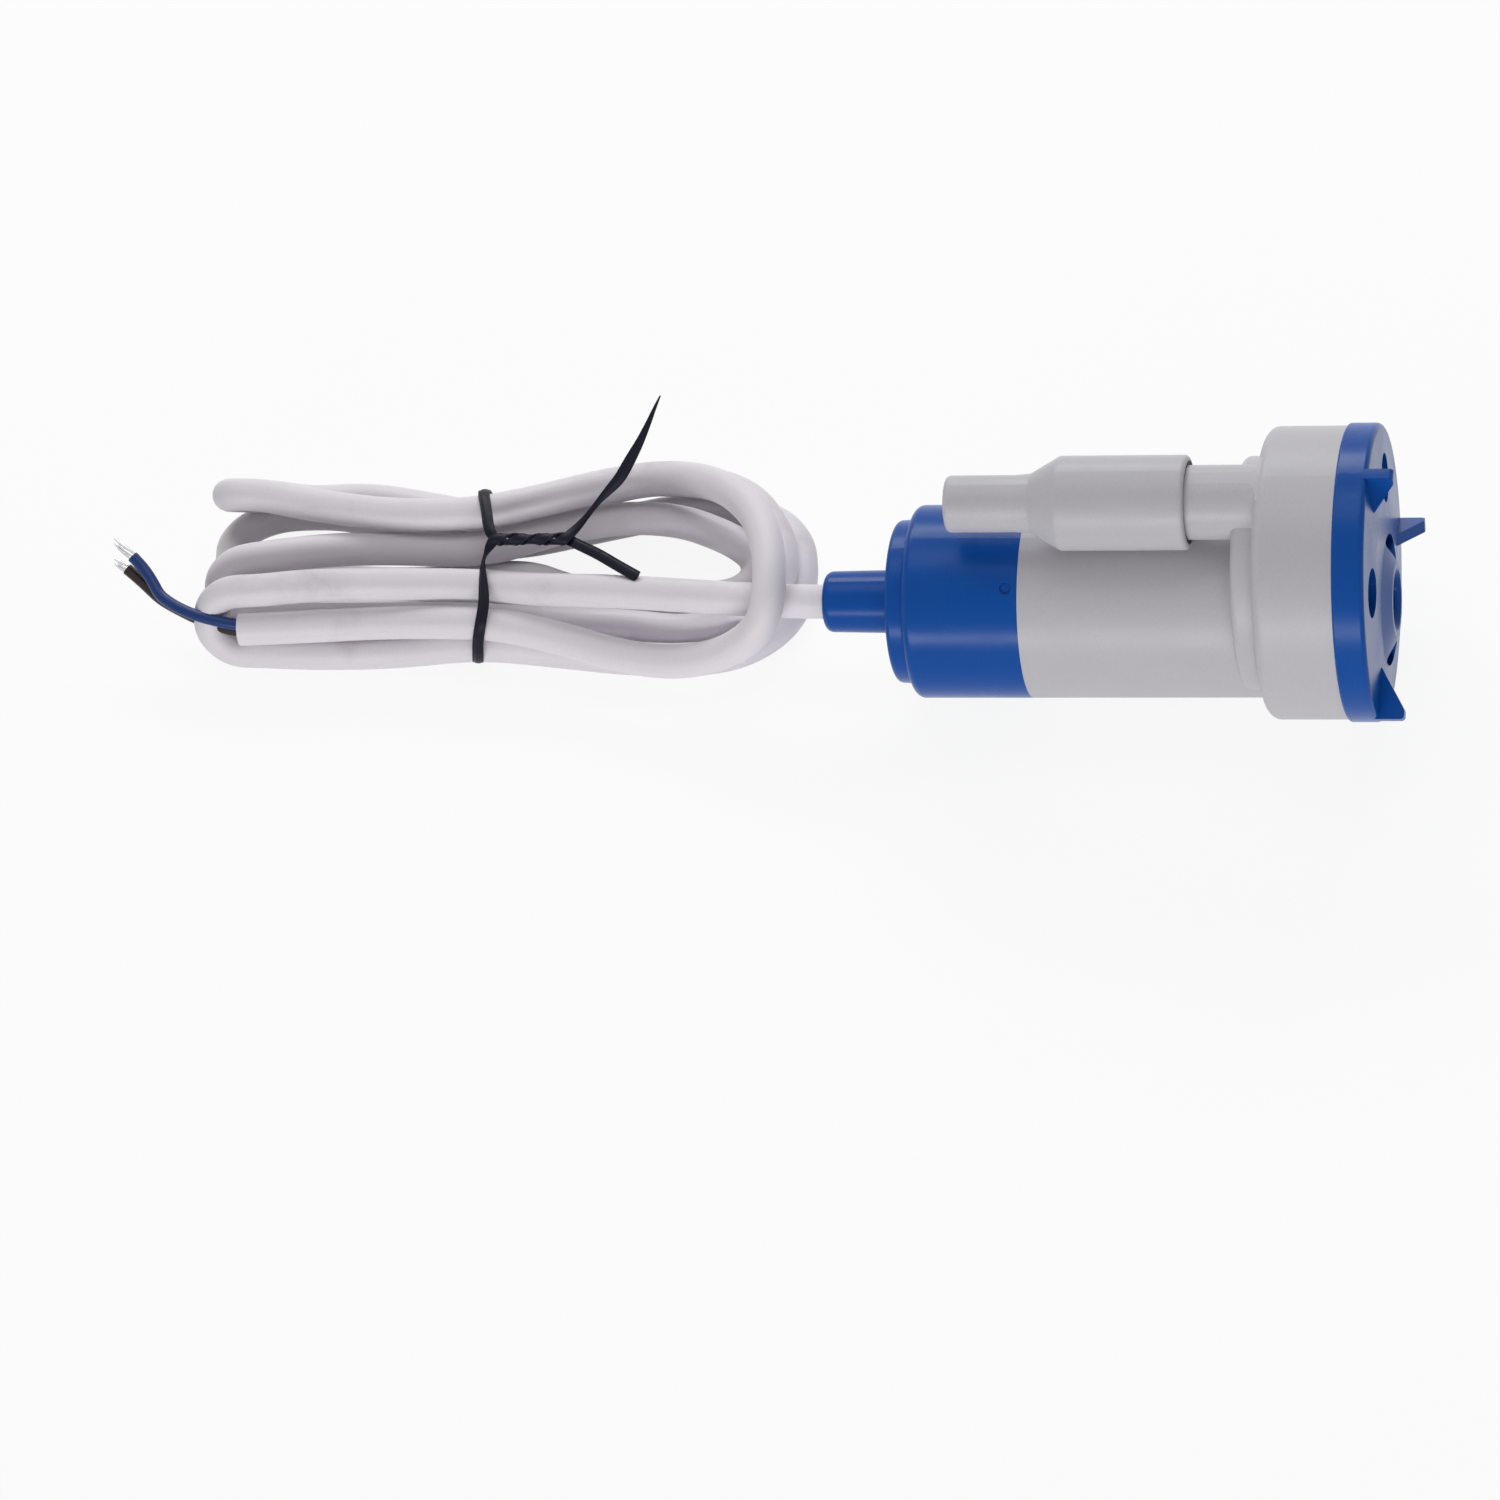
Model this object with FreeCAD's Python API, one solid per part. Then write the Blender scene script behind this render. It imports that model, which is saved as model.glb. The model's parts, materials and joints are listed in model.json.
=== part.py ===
# Small submersible pump: motor housing, blue end cap and intake base, side outlet with a
# non-return valve pushed on it, and a two-core lead folded into a tied hank.
# Millimetres. The motor axis runs along X with the intake base at +X, and the outlet is
# above it, so the pump lies on the bottom line of its housing as it does in the photograph.
import FreeCAD, Part
import math
import os

V = FreeCAD.Vector

# Stations along the motor axis, counted from the shoulder of the end cap
cap_length = 22.2
gland_tip = -17.7
disc_height = 3.6
step_station = 63.4
flange_station = 68.0
flange_face = 83.0
plate_thickness = 5.9

# Radii about the motor axis
body_radius = 18.2
housing_wall = 2.2
disc_radius = 15.3
gland_radius = 5.9
shoulder_corner = 1.7
cap_wall = 2.4
cap_overlap = 4.0
gland_lip = 2.2
groove_depth = 0.95
groove_width = 1.2
mark_radius = 1.1
mark_depth = 0.45
mark_inset = 2.2
mark_turn = 33.0

# Flange and base plate, round about a centre above the motor axis
tube_to_rim = 7.7
plate_drop = 1.75
flange_step = 0.5
step_inset = 6.0
step_corner = 1.4
flange_corner = 2.2
plate_corner = 1.1
plate_rise = 0.5
plate_skin = 1.5
foot_height = 4.7
foot_depth = 10.4
foot_thickness = 2.3
foot_flat = 1.8
foot_corner = 0.8
dome_radius = 13.3
dome_top_radius = 7.0
dome_height = 1.9
intake_radius = 5.2
intake_lip = 1.1
window_apex = 7.5
window_radius = 12.3
window_corner = 0.7
window_half_angle = 62.0
window_angle = -45.0
well_radius = 4.6
well_depth = 2.8
well_inset = 10.15
screw_angle = 53.0
screw_radius = 1.2
screw_length = 10.2
screw_head_radius = 3.3
screw_head_height = 1.9

# Pump chamber
bulkhead_station = 64.2
chamber_back = 70.5
cover_thickness = 2.0
cover_inset = 3.1
cover_play = 0.1
volute_gap = 1.3
volute_growth = 0.9
throat_step = 0.3
tongue_rise = 1.4
gasket_inset = 2.2
gasket_width = 1.0
gasket_depth = 0.8
impeller_radius = 11.4
impeller_gap = 1.0
impeller_disc = 1.2
hub_radius = 3.2
vane_count = 5
vane_thickness = 1.1
vane_inner_radius = 4.7
vane_sweep = 62.0

# Outlet tube and non-return valve, about an axis above the motor axis
valve_clearance = 0.85
spigot_radius = 6.9
spigot_bore = 4.2
spigot_end = 47.6
spigot_flare = 1.2
valve_radius = 8.8
valve_start = 31.2
valve_end = 55.2
cone_start = 25.6
hose_tip = 9.7
hose_radius = 5.3
hose_bore = 3.6
hose_pin_length = 12.0
chamber_radius = 6.4
seat_station = 45.2
seat_bore = 3.9
push_play = 0.05
guide_play = 0.1
poppet_length = 8.6
poppet_travel = 3.0
poppet_stop = 0.6
poppet_head_radius = 5.0
seal_thickness = 0.8
end_ring_depth = 1.6
end_ring_width = 0.8
poppet_stem_radius = 1.6
poppet_nose_radius = 2.2
poppet_gap = 0.05

# Motor
mount_ring_thickness = 2.15
can_wall = 1.0
motor_length = 36.5
bush_boss_radius = 5.0
bush_boss_length = 2.0
shaft_radius = 1.15
shaft_play = 0.04
shaft_tail = 2.2
magnet_thickness = 2.9
magnet_length = 24.0
magnet_span = 140.0
air_gap = 0.6
magnet_inset = 2.6
core_length = 16.0
core_hub_share = 0.385
pole_count = 3
pole_neck = 3.4
pole_rim_share = 0.214
pole_gap = 2.2
coil_share = 0.77
coil_overhang = 2.4
fixed_play = 0.01
seat_play = 0.02
commutator_radius = 3.4
commutator_length = 4.6
commutator_gap = 0.6
commutator_slot = 0.5
brush_length = 2.6
brush_width = 2.4
brush_height = 2.4
brush_gap = 0.05
leaf_thickness = 0.35
leaf_width = 2.6
bush_radius = 3.0
bush_length = 3.0
bush_inset = 0.8
bush_tail = 0.6
terminal_side = 8.4
terminal_reach = 5.0
terminal_thickness = 0.8
terminal_width = 3.4
bell_thickness = 3.6
mount_ring_width = 4.0
washer_wall = 0.95
seal_radius = 4.4
seal_length = 2.0
retainer_depth = 0.7

# Lead
cable_radius = 3.1
core_radius = 1.2
strand_radius = 0.8
grommet_radius = 4.5
lead_inside = 3.4
layer_step = 6.68
loop_step = 7.05
loop_inner = 5.4
waist_draw = 5.5
hank_centre_y = 16.8
hank_right = -46.2
hank_waist = -88.4
hank_left = -122.8
lead_turn_back = 8.0
lead_inset = 8.5
lead_run = 26.0
lead_over_waist = 15.0
cut_end = -137.4
tie_thickness = 0.9
tie_width = 2.0
tie_play = 0.1
tie_neck = 15.2
tie_neck_radius = 1.2
tie_knot_radius = 1.7
tail_width = 1.6
tail_thickness = 0.8
flat_tail = (21.0, 20.0, 15.5)
short_tail = (13.5, -4.5, -0.8)
blue_route = [(0, 1.35, 0), (-9, 1.35, 0), (-16, 3.4, 1.8), (-21, 8.4, 5.2), (-25, 14.2, 9.6)]
brown_route = [(0, -1.35, 0), (-9.5, -1.35, 0), (-16.5, 0.0, -0.6), (-23, 5.2, 2.0), (-28, 11.0, 5.6)]
tinned_length = 6.0
floor_play = 0.02

# Worked out from the sizes above
tube_height = body_radius + valve_radius + valve_clearance
plate_radius = (tube_height + tube_to_rim + body_radius + plate_drop) / 2
plate_height = plate_radius - body_radius - plate_drop
flange_radius = plate_radius - flange_step
step_radius = plate_radius - step_inset
cover_radius = plate_radius - cover_inset
gasket_radius = plate_radius - gasket_inset
screw_circle = plate_radius - well_inset
volute_radius = impeller_radius + volute_gap
plate_face = flange_face + plate_thickness
dome_face = plate_face + dome_height
well_floor = plate_face - well_depth
foot_tip = plate_face + foot_height
throat_radius = spigot_bore + throat_step
bore_radius = body_radius - housing_wall
can_radius = bore_radius - mount_ring_thickness
cap_spigot_radius = bore_radius - push_play
cap_cavity_radius = bore_radius - 2.2
cap_groove = cap_length + 1.4
groove_floor = cap_spigot_radius - groove_depth
cover_back = flange_face - cover_thickness
seal_start = chamber_back - seal_length - retainer_depth
motor_front = bulkhead_station
motor_rear = motor_front - motor_length
terminal_tip = motor_rear - terminal_reach
front_bush_end = motor_front + bush_boss_length - bush_inset
rear_bush_end = motor_rear - bush_tail + bush_length
commutator_start = motor_rear + bush_length + commutator_gap
brush_station = commutator_start + commutator_length / 2
magnet_start = motor_front - can_wall - magnet_inset - magnet_length
core_start = magnet_start + (magnet_length - core_length) / 2
core_end = core_start + core_length
socket_radius = spigot_radius + push_play
seat_radius = spigot_radius
chamber_start = seat_station - poppet_length - poppet_travel - poppet_stop
impeller_start = chamber_back + impeller_gap
impeller_end = cover_back - impeller_gap
magnet_outer = can_radius - can_wall
magnet_inner = magnet_outer - magnet_thickness
core_radius_outer = magnet_inner - air_gap
core_hub_radius = core_hub_share * core_radius_outer
pole_rim = pole_rim_share * core_radius_outer
coil_width = coil_share * core_radius_outer
pump_middle = (gland_tip + foot_tip) / 2
floor_z = plate_height - plate_radius
layer_one = floor_z + cable_radius + floor_play
layer_two = layer_one + layer_step
layer_three = layer_two + layer_step
waist_lift = tie_thickness + tie_play
lead_level = layer_three + waist_lift
lead_side = hank_centre_y - lead_inset


def on_axis(x, height=0.0):
    return V(x, 0, height)


def rounded_wire(points):
    """Close an outline of (x, radius) points, where a third value rounds the corner."""
    corners = [V(p[0], 0, p[1]) for p in points]
    cuts = [p[2] if len(p) > 2 else 0.0 for p in points]
    count = len(points)
    legs = []
    for i in range(count):
        here = corners[i]
        if not cuts[i]:
            legs.append((here, None, here))
            continue
        back = (corners[i - 1] - here).normalize()
        ahead = (corners[(i + 1) % count] - here).normalize()
        half = back.getAngle(ahead) / 2
        reach = cuts[i] / math.tan(half)
        middle = (back + ahead).normalize()
        crown = here + middle * (cuts[i] / math.sin(half) - cuts[i])
        legs.append((here + back * reach, crown, here + ahead * reach))
    edges = []
    for i in range(count):
        start, crown, end = legs[i]
        if crown is not None:
            edges.append(Part.Arc(start, crown, end).toShape())
        following = legs[(i + 1) % count][0]
        if (following - end).Length > 1e-6:
            edges.append(Part.LineSegment(end, following).toShape())
    return Part.Wire(edges)


def turned(points, height=0.0):
    """Turn an outline of (x, radius) points about an axis along X."""
    face = Part.Face(rounded_wire(points))
    face.translate(on_axis(0, height))
    return face.revolve(on_axis(0, height), V(1, 0, 0), 360)


def rod(start, end, radius, height=0.0, side=0.0):
    return Part.makeCylinder(radius, end - start, V(start, side, height), V(1, 0, 0))


def tube(start, end, outer, inner, height=0.0):
    return rod(start, end, outer, height).cut(rod(start - 1, end + 1, inner, height))


def prism(points, start, end):
    """A straight-sided prism along X from (y, z) points."""
    wire = Part.makePolygon([V(start, y, z) for y, z in points + points[:1]])
    return Part.Face(wire).extrude(V(end - start, 0, 0))


def arc_about(x, centre, radius, first, last):
    """An arc in the plane at x, about a (y, z) centre, between two angles in radians."""
    y, z = centre
    points = []
    for turn in (first, (first + last) / 2, last):
        points.append(V(x, y + radius * math.cos(turn), z + radius * math.sin(turn)))
    return Part.Arc(*points).toShape()


def joined(first, others):
    return first.fuse(others).removeSplitter()


def box_about(start, end, width_y, width_z, y=0.0, z=0.0):
    corner = V(start, y - width_y / 2, z - width_z / 2)
    return Part.makeBox(end - start, width_y, width_z, corner)


def screw_places():
    """The two base screws, either side of the outlet, as (y, z)."""
    places = []
    for side in (-1, 1):
        turn = math.radians(side * screw_angle)
        places.append((screw_circle * math.sin(turn), plate_height + screw_circle * math.cos(turn)))
    return places


def volute_space(start, end):
    """The pump chamber: arcs that grow as they turn, then a straight wall up to the outlet."""
    grow = volute_growth
    radius = volute_radius
    widest = radius + 3 * grow
    right = math.pi / 2
    lean = math.asin((widest - throat_radius) / (tube_height - grow))
    reach = math.cos(lean)
    rise = math.sin(lean)
    turns = [
        arc_about(start, (0, 0), radius, right, 0),
        arc_about(start, (-grow, 0), radius + grow, 0, -right),
        arc_about(start, (-grow, grow), radius + 2 * grow, -right, -2 * right),
        arc_about(start, (0, grow), widest, 2 * right, 2 * right - lean),
    ]
    throat = arc_about(start, (0, tube_height), throat_radius, 2 * right - lean, 0)
    wall_foot = V(start, -widest * reach, grow + widest * rise)
    wall_top = V(start, -throat_radius * reach, tube_height + throat_radius * rise)
    tongue = V(start, throat_radius * 0.7, radius + tongue_rise)
    walls = [
        Part.LineSegment(wall_foot, wall_top).toShape(),
        Part.LineSegment(V(start, throat_radius, tube_height), tongue).toShape(),
        Part.LineSegment(tongue, V(start, 0, radius)).toShape(),
    ]
    wire = Part.Wire(turns + [walls[0], throat] + walls[1:])
    return Part.Face(wire).extrude(V(end - start, 0, 0))


def motor_housing():
    body = rod(cap_length, flange_station + 1, body_radius)
    step = turned(
        [
            (step_station, 0),
            (step_station, step_radius, step_corner),
            (flange_station + 1, step_radius),
            (flange_station + 1, 0),
        ],
        plate_height,
    )
    flange = turned(
        [
            (flange_station, 0),
            (flange_station, flange_radius, flange_corner),
            (flange_face, flange_radius),
            (flange_face, 0),
        ],
        plate_height,
    )
    spigot = turned(
        [
            (spigot_end, 0),
            (spigot_end, spigot_radius, 0.8),
            (flange_station + 0.4, spigot_radius, spigot_flare),
            (flange_station + 0.4, spigot_radius + spigot_flare),
            (flange_station + 3, spigot_radius + spigot_flare),
            (flange_station + 3, 0),
        ],
        tube_height,
    ).common(rod(spigot_end, flange_face, flange_radius - 0.4, plate_height))
    shape = joined(body, [step, flange, spigot])
    gasket_start = flange_face - gasket_depth
    cuts = [
        rod(cap_length - 1, bulkhead_station, bore_radius),
        rod(bulkhead_station - 1, bulkhead_station + bush_boss_length + 0.2, bush_boss_radius + 0.25),
        rod(bulkhead_station, chamber_back + 1, shaft_radius + 0.4),
        rod(seal_start, chamber_back + 1, seal_radius),
        volute_space(chamber_back, flange_face + 1),
        rod(cover_back, flange_face + 1, cover_radius + cover_play, plate_height),
        rod(spigot_end - 1, chamber_back + 1, spigot_bore, tube_height),
        tube(gasket_start, flange_face + 1, gasket_radius + gasket_width, gasket_radius, plate_height),
    ]
    for y, z in screw_places():
        cuts.append(rod(well_floor - screw_length - 1, flange_face, screw_radius + push_play, z, y))
    return shape.cut(cuts)


def end_cap():
    disc_face = -disc_height
    shell = turned(
        [
            (gland_tip, 0),
            (gland_tip, gland_radius - 0.15, 1.6),
            (disc_face, gland_radius + 0.1, 0.9),
            (disc_face, disc_radius, 1.0),
            (0, disc_radius + 0.2, 0.5),
            (0, body_radius, shoulder_corner),
            (cap_length, body_radius),
            (cap_length, cap_spigot_radius),
            (cap_length + cap_overlap, cap_spigot_radius, 0.4),
            (cap_length + cap_overlap, cap_cavity_radius),
            (cap_wall, cap_cavity_radius, 1.0),
            (cap_wall, 0),
        ]
    )
    mark = Part.makeCylinder(mark_radius, 2, on_axis(cap_length - mark_inset, body_radius - mark_depth))
    mark.rotate(V(0, 0, 0), V(1, 0, 0), mark_turn)
    cuts = [
        rod(gland_tip - 1, cap_wall + 1, cable_radius + push_play),
        rod(gland_tip + gland_lip, cap_wall + 1, grommet_radius + push_play),
        tube(cap_groove, cap_groove + groove_width, cap_spigot_radius + 1, groove_floor),
        mark,
    ]
    return shell.cut(cuts)


def cap_seal_ring():
    thick = (bore_radius - groove_floor) / 2 - fixed_play
    middle = on_axis(cap_groove + groove_width / 2)
    return Part.makeTorus(bore_radius - thick - fixed_play, thick, middle, V(1, 0, 0))


def cable_grommet():
    return tube(gland_tip + gland_lip, cap_wall, grommet_radius, cable_radius + seat_play)


def cable_inner():
    return rod(gland_tip, lead_inside, cable_radius)


def base_foot(turn):
    """A thin upright fin that rises from a point inside the rim to its full height at the rim."""
    outline = rounded_wire(
        [
            (plate_face - 1, plate_radius - foot_depth),
            (plate_face - 1, plate_radius + 1),
            (foot_tip, plate_radius + 1),
            (foot_tip, plate_radius - foot_flat, foot_corner),
            (plate_face, plate_radius - foot_depth),
        ]
    )
    fin = Part.Face(outline).extrude(V(0, foot_thickness, 0))
    fin.translate(V(0, -foot_thickness / 2, 0))
    fin = fin.common(turned([
        (plate_face - 1, 0),
        (plate_face - 1, plate_radius),
        (foot_tip, plate_radius, foot_corner),
        (foot_tip, 0),
    ]))
    fin.rotate(V(0, 0, 0), V(1, 0, 0), turn)
    fin.translate(on_axis(0, plate_height))
    return fin


def window_cut(turn):
    """An intake window: a sector whose point looks at the hole, with rounded corners."""
    reach = window_radius + 2
    side = reach * math.tan(math.radians(window_half_angle))
    corners = [(0, window_apex), (side, window_apex + reach), (-side, window_apex + reach)]
    piece = rod(flange_face, foot_tip, window_radius).common(prism(corners, flange_face, foot_tip))
    upright = [edge for edge in piece.Edges if edge.BoundBox.XLength > plate_thickness]
    piece = piece.makeFillet(window_corner, upright)
    piece.rotate(V(0, 0, 0), V(1, 0, 0), turn)
    return piece


def base_plate():
    plate = turned(
        [
            (flange_face, 0),
            (flange_face, plate_radius, 0.5),
            (plate_face, plate_radius, plate_corner),
            (plate_face + plate_rise, dome_radius),
            (plate_face + plate_rise, 0),
        ],
        plate_height,
    )
    dome = turned(
        [
            (plate_face - 1, 0),
            (plate_face - 1, dome_radius),
            (plate_face + 0.2, dome_radius, 0.8),
            (dome_face, dome_top_radius, 0.8),
            (dome_face, 0),
        ]
    )
    feet = [base_foot(turn) for turn in (0, 120, 240)]
    plate = joined(plate, [dome] + feet)
    cuts = [
        turned(
            [
                (flange_face - 1, 0),
                (flange_face - 1, window_radius),
                (plate_face - plate_skin, window_radius, 0.8),
                (plate_face - plate_skin, 0),
            ]
        ),
        turned(
            [
                (flange_face, 0),
                (flange_face, intake_radius),
                (dome_face - 0.8, intake_radius, 1.0),
                (dome_face + 0.5, intake_radius + intake_lip),
                (dome_face + 0.5, 0),
            ]
        ),
        window_cut(window_angle),
        window_cut(window_angle + 180),
    ]
    for y, z in screw_places():
        cuts.append(rod(well_floor, foot_tip, well_radius, z, y))
        cuts.append(rod(flange_face - 1, plate_face, screw_radius + 0.5, z, y))
    return plate.cut(cuts)


def chamber_cover():
    cover = rod(cover_back, flange_face, cover_radius, plate_height)
    eye = turned(
        [
            (cover_back - 1, 0),
            (cover_back - 1, intake_radius - 0.3),
            (flange_face - 0.6, intake_radius - 0.3, 0.8),
            (flange_face + 0.1, intake_radius + 0.6),
            (flange_face + 0.1, 0),
        ]
    )
    cuts = [eye]
    for y, z in screw_places():
        cuts.append(rod(cover_back - 1, flange_face + 1, screw_radius + 0.5, z, y))
    return cover.cut(cuts)


def base_gasket():
    start = flange_face - gasket_depth
    outer = gasket_radius + gasket_width - 0.04
    return tube(start, flange_face, outer, gasket_radius + 0.04, plate_height)


def base_screws():
    head_top = well_floor + screw_head_height
    slot_depth = 1.0
    slot_width = 0.8
    arm = screw_head_radius * 1.1
    screws = []
    for y, z in screw_places():
        screw = turned(
            [
                (well_floor - screw_length, 0),
                (well_floor - screw_length + screw_radius, screw_radius),
                (well_floor, screw_radius),
                (well_floor, screw_head_radius),
                (head_top, screw_head_radius, screw_radius),
                (head_top, 0),
            ]
        )
        cross = [
            box_about(head_top - slot_depth, head_top + 1, slot_width, arm),
            box_about(head_top - slot_depth, head_top + 1, arm, slot_width),
        ]
        screw = screw.cut(cross)
        screw.translate(V(0, y, z))
        screws.append(screw)
    return Part.makeCompound(screws)


def shaft_seal():
    start = seal_start
    return turned(
        [
            (start, shaft_radius + 0.6),
            (start, seal_radius - seat_play),
            (start + seal_length, seal_radius - seat_play),
            (start + seal_length, seal_radius - 1.2),
            (start + 0.7, seal_radius - 1.2),
            (start + 0.7, 2.2),
            (start + 1.7, shaft_radius + 0.8),
            (start + 1.7, shaft_radius + shaft_play),
            (start + 0.9, shaft_radius + shaft_play),
        ]
    )


def seal_retainer():
    start = chamber_back - retainer_depth
    return tube(start, chamber_back - 0.05, seal_radius - seat_play, shaft_radius + 0.5)


def valve_body():
    outer = [
        (hose_tip, hose_bore),
        (hose_tip, hose_radius, 0.9),
        (hose_tip + hose_pin_length + 1, hose_radius),
        (cone_start, hose_radius + 0.25, 1.5),
        (valve_start, valve_radius, 1.6),
        (valve_end, valve_radius, 0.9),
        (valve_end, socket_radius + end_ring_width),
        (valve_end - end_ring_depth, socket_radius + end_ring_width),
        (valve_end - end_ring_depth, socket_radius),
        (seat_station, socket_radius),
        (seat_station, chamber_radius),
        (chamber_start, chamber_radius),
        (chamber_start - 2.4, hose_bore),
    ]
    return turned(outer, tube_height)


def valve_end_ring():
    """The dark sealing ring at the mouth of the valve, round the pump's outlet."""
    return tube(
        valve_end - end_ring_depth,
        valve_end - 0.1,
        socket_radius + end_ring_width - seat_play,
        spigot_radius + seat_play,
        tube_height,
    )


def valve_seat():
    return turned(
        [
            (seat_station, seat_bore, 0.4),
            (seat_station, seat_radius),
            (spigot_end - 0.1, seat_radius),
            (spigot_end - 0.1, spigot_bore),
        ],
        tube_height,
    )


def valve_poppet():
    head_face = seat_station - poppet_gap - seal_thickness
    head_back = head_face - 1.4
    tail = seat_station - poppet_length
    stem = turned(
        [
            (tail, 0),
            (tail, poppet_stem_radius, 0.6),
            (head_back - 1.6, poppet_stem_radius, 1.2),
            (head_back, poppet_head_radius, 0.4),
            (head_face, poppet_head_radius),
            (head_face, poppet_nose_radius),
            (seat_station + 0.6, poppet_nose_radius, 0.8),
            (seat_station + 0.6, 0),
        ],
        tube_height,
    )
    fins = []
    reach = chamber_radius - guide_play
    for turn in (90, 210, 330):
        fin = box_about(tail + 0.6, head_back, 1.2, reach, 0, reach / 2)
        fin = fin.common(rod(tail, head_face, reach))
        fin.rotate(V(0, 0, 0), V(1, 0, 0), turn - 90)
        fin.translate(on_axis(0, tube_height))
        fins.append(fin)
    return joined(stem, fins)


def poppet_seal():
    back = seat_station - poppet_gap
    hole = poppet_nose_radius + seat_play
    return tube(back - seal_thickness, back, poppet_head_radius + 0.2, hole, tube_height)


def motor_can():
    start = motor_rear
    return turned(
        [
            (start, can_radius - can_wall),
            (start, can_radius, 0.3),
            (motor_front, can_radius, 1.2),
            (motor_front, bush_boss_radius, 0.2),
            (motor_front + bush_boss_length, bush_boss_radius, 0.6),
            (motor_front + bush_boss_length, shaft_radius + 0.5),
            (front_bush_end, shaft_radius + 0.5),
            (front_bush_end, bush_radius + seat_play),
            (motor_front - can_wall, bush_radius + seat_play),
            (motor_front - can_wall, can_radius - can_wall),
        ]
    )


def bush(start):
    return tube(start, start + bush_length, bush_radius, shaft_radius + shaft_play)


def front_bush():
    return bush(front_bush_end - bush_length)


def rear_bush():
    return bush(motor_rear - bush_tail)


def motor_end_bell():
    plate = turned(
        [
            (motor_rear - 1.4, shaft_radius + 0.6),
            (motor_rear - 1.4, 4.6, 0.5),
            (motor_rear, 4.6),
            (motor_rear, magnet_outer - 0.05),
            (motor_rear + bell_thickness, magnet_outer - 0.05),
            (motor_rear + bell_thickness, magnet_outer - 1.6),
            (motor_rear + 1.6, magnet_outer - 1.6),
            (motor_rear + 1.6, 4.6),
            (rear_bush_end, 4.6),
            (rear_bush_end, bush_radius + seat_play),
            (motor_rear - bush_tail, bush_radius + seat_play),
            (motor_rear - bush_tail, shaft_radius + 0.6),
        ]
    )
    slots = []
    for side in (-1, 1):
        place = side * terminal_side
        slots.append(box_about(motor_rear - 1, motor_rear + 3, terminal_thickness + 0.1, terminal_width + 0.2, place))
    return plate.cut(slots)


def motor_terminals():
    tabs = []
    for side in (-1, 1):
        place = side * terminal_side
        tab = box_about(terminal_tip, motor_rear + 2.8, terminal_thickness, terminal_width, place)
        hole = Part.makeCylinder(0.7, 3, V(terminal_tip + 1.5, place - 1.5, 0), V(0, 1, 0))
        tabs.append(tab.cut(hole))
    return Part.makeCompound(tabs)


def brushes():
    middle = commutator_radius + brush_gap + brush_length / 2
    start = brush_station - brush_width / 2
    blocks = []
    for side in (-1, 1):
        blocks.append(box_about(start, start + brush_width, brush_length, brush_height, side * middle))
    return Part.makeCompound(blocks)


def brush_arms():
    """Two bronze leaves that press the brushes on the commutator."""
    arms = []
    back = commutator_radius + brush_gap + brush_length + 0.05
    outer = terminal_side - terminal_thickness / 2 + 0.1
    seat = motor_rear + 2.85
    near = brush_station - 1.6
    far = brush_station + 1.6
    for side in (-1, 1):
        outline = [
            V(seat, side * outer, 0),
            V(far, side * outer, 0),
            V(far, side * back, 0),
            V(near, side * back, 0),
            V(near, side * (back + leaf_thickness), 0),
            V(far - leaf_thickness, side * (back + leaf_thickness), 0),
            V(far - leaf_thickness, side * (outer - leaf_thickness), 0),
            V(seat, side * (outer - leaf_thickness), 0),
        ]
        arm = Part.Face(Part.makePolygon(outline + outline[:1])).extrude(V(0, 0, leaf_width))
        arm.translate(V(0, 0, -leaf_width / 2))
        arms.append(arm)
    return Part.makeCompound(arms)


def magnets():
    """Two arcs of a ring, one on each side of the rotor."""
    ring_shape = tube(magnet_start, magnet_start + magnet_length, magnet_outer - seat_play, magnet_inner)
    gap_half = math.radians(90 - magnet_span / 2)
    far = can_radius * 2
    rise = far * math.tan(gap_half)
    shells = []
    for side in (-1, 1):
        corners = [(0, 0), (-far, side * rise), (-far, side * far), (far, side * far), (far, side * rise)]
        shells.append(ring_shape.common(prism(corners, magnet_start - 1, magnet_start + magnet_length + 1)))
    return Part.makeCompound(shells)


def mount_rings():
    """Two rubber rings that centre the motor in the housing bore."""
    rings = []
    for start in (motor_rear + 4, motor_front - mount_ring_width - 2):
        rings.append(tube(start, start + mount_ring_width, bore_radius - seat_play, can_radius + seat_play))
    return Part.makeCompound(rings)


def rotor_shaft():
    return turned(
        [
            (motor_rear - shaft_tail + 1.4, 0),
            (motor_rear - shaft_tail + 1.4, shaft_radius, 0.3),
            (impeller_end - 0.4, shaft_radius, 0.3),
            (impeller_end - 0.4, 0),
        ]
    )


def armature_core():
    """A three-pole stack: a hub, necks and curved pole shoes."""
    hub = rod(core_start, core_end, core_hub_radius)
    shoes = tube(core_start, core_end, core_radius_outer, core_radius_outer - pole_rim)
    necks = []
    gaps = [rod(core_start - 1, core_end + 1, shaft_radius + fixed_play)]
    for pole in range(pole_count):
        turn = pole * 360 / pole_count
        neck = box_about(core_start, core_end, pole_neck, core_radius_outer - 1, 0, core_radius_outer / 2)
        neck.rotate(V(0, 0, 0), V(1, 0, 0), turn)
        necks.append(neck)
        gap = box_about(core_start - 1, core_end + 1, pole_gap, core_radius_outer, 0, core_radius_outer)
        gap.rotate(V(0, 0, 0), V(1, 0, 0), turn + 180 / pole_count)
        gaps.append(gap)
    return joined(hub, necks + [shoes]).cut(gaps)


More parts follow.
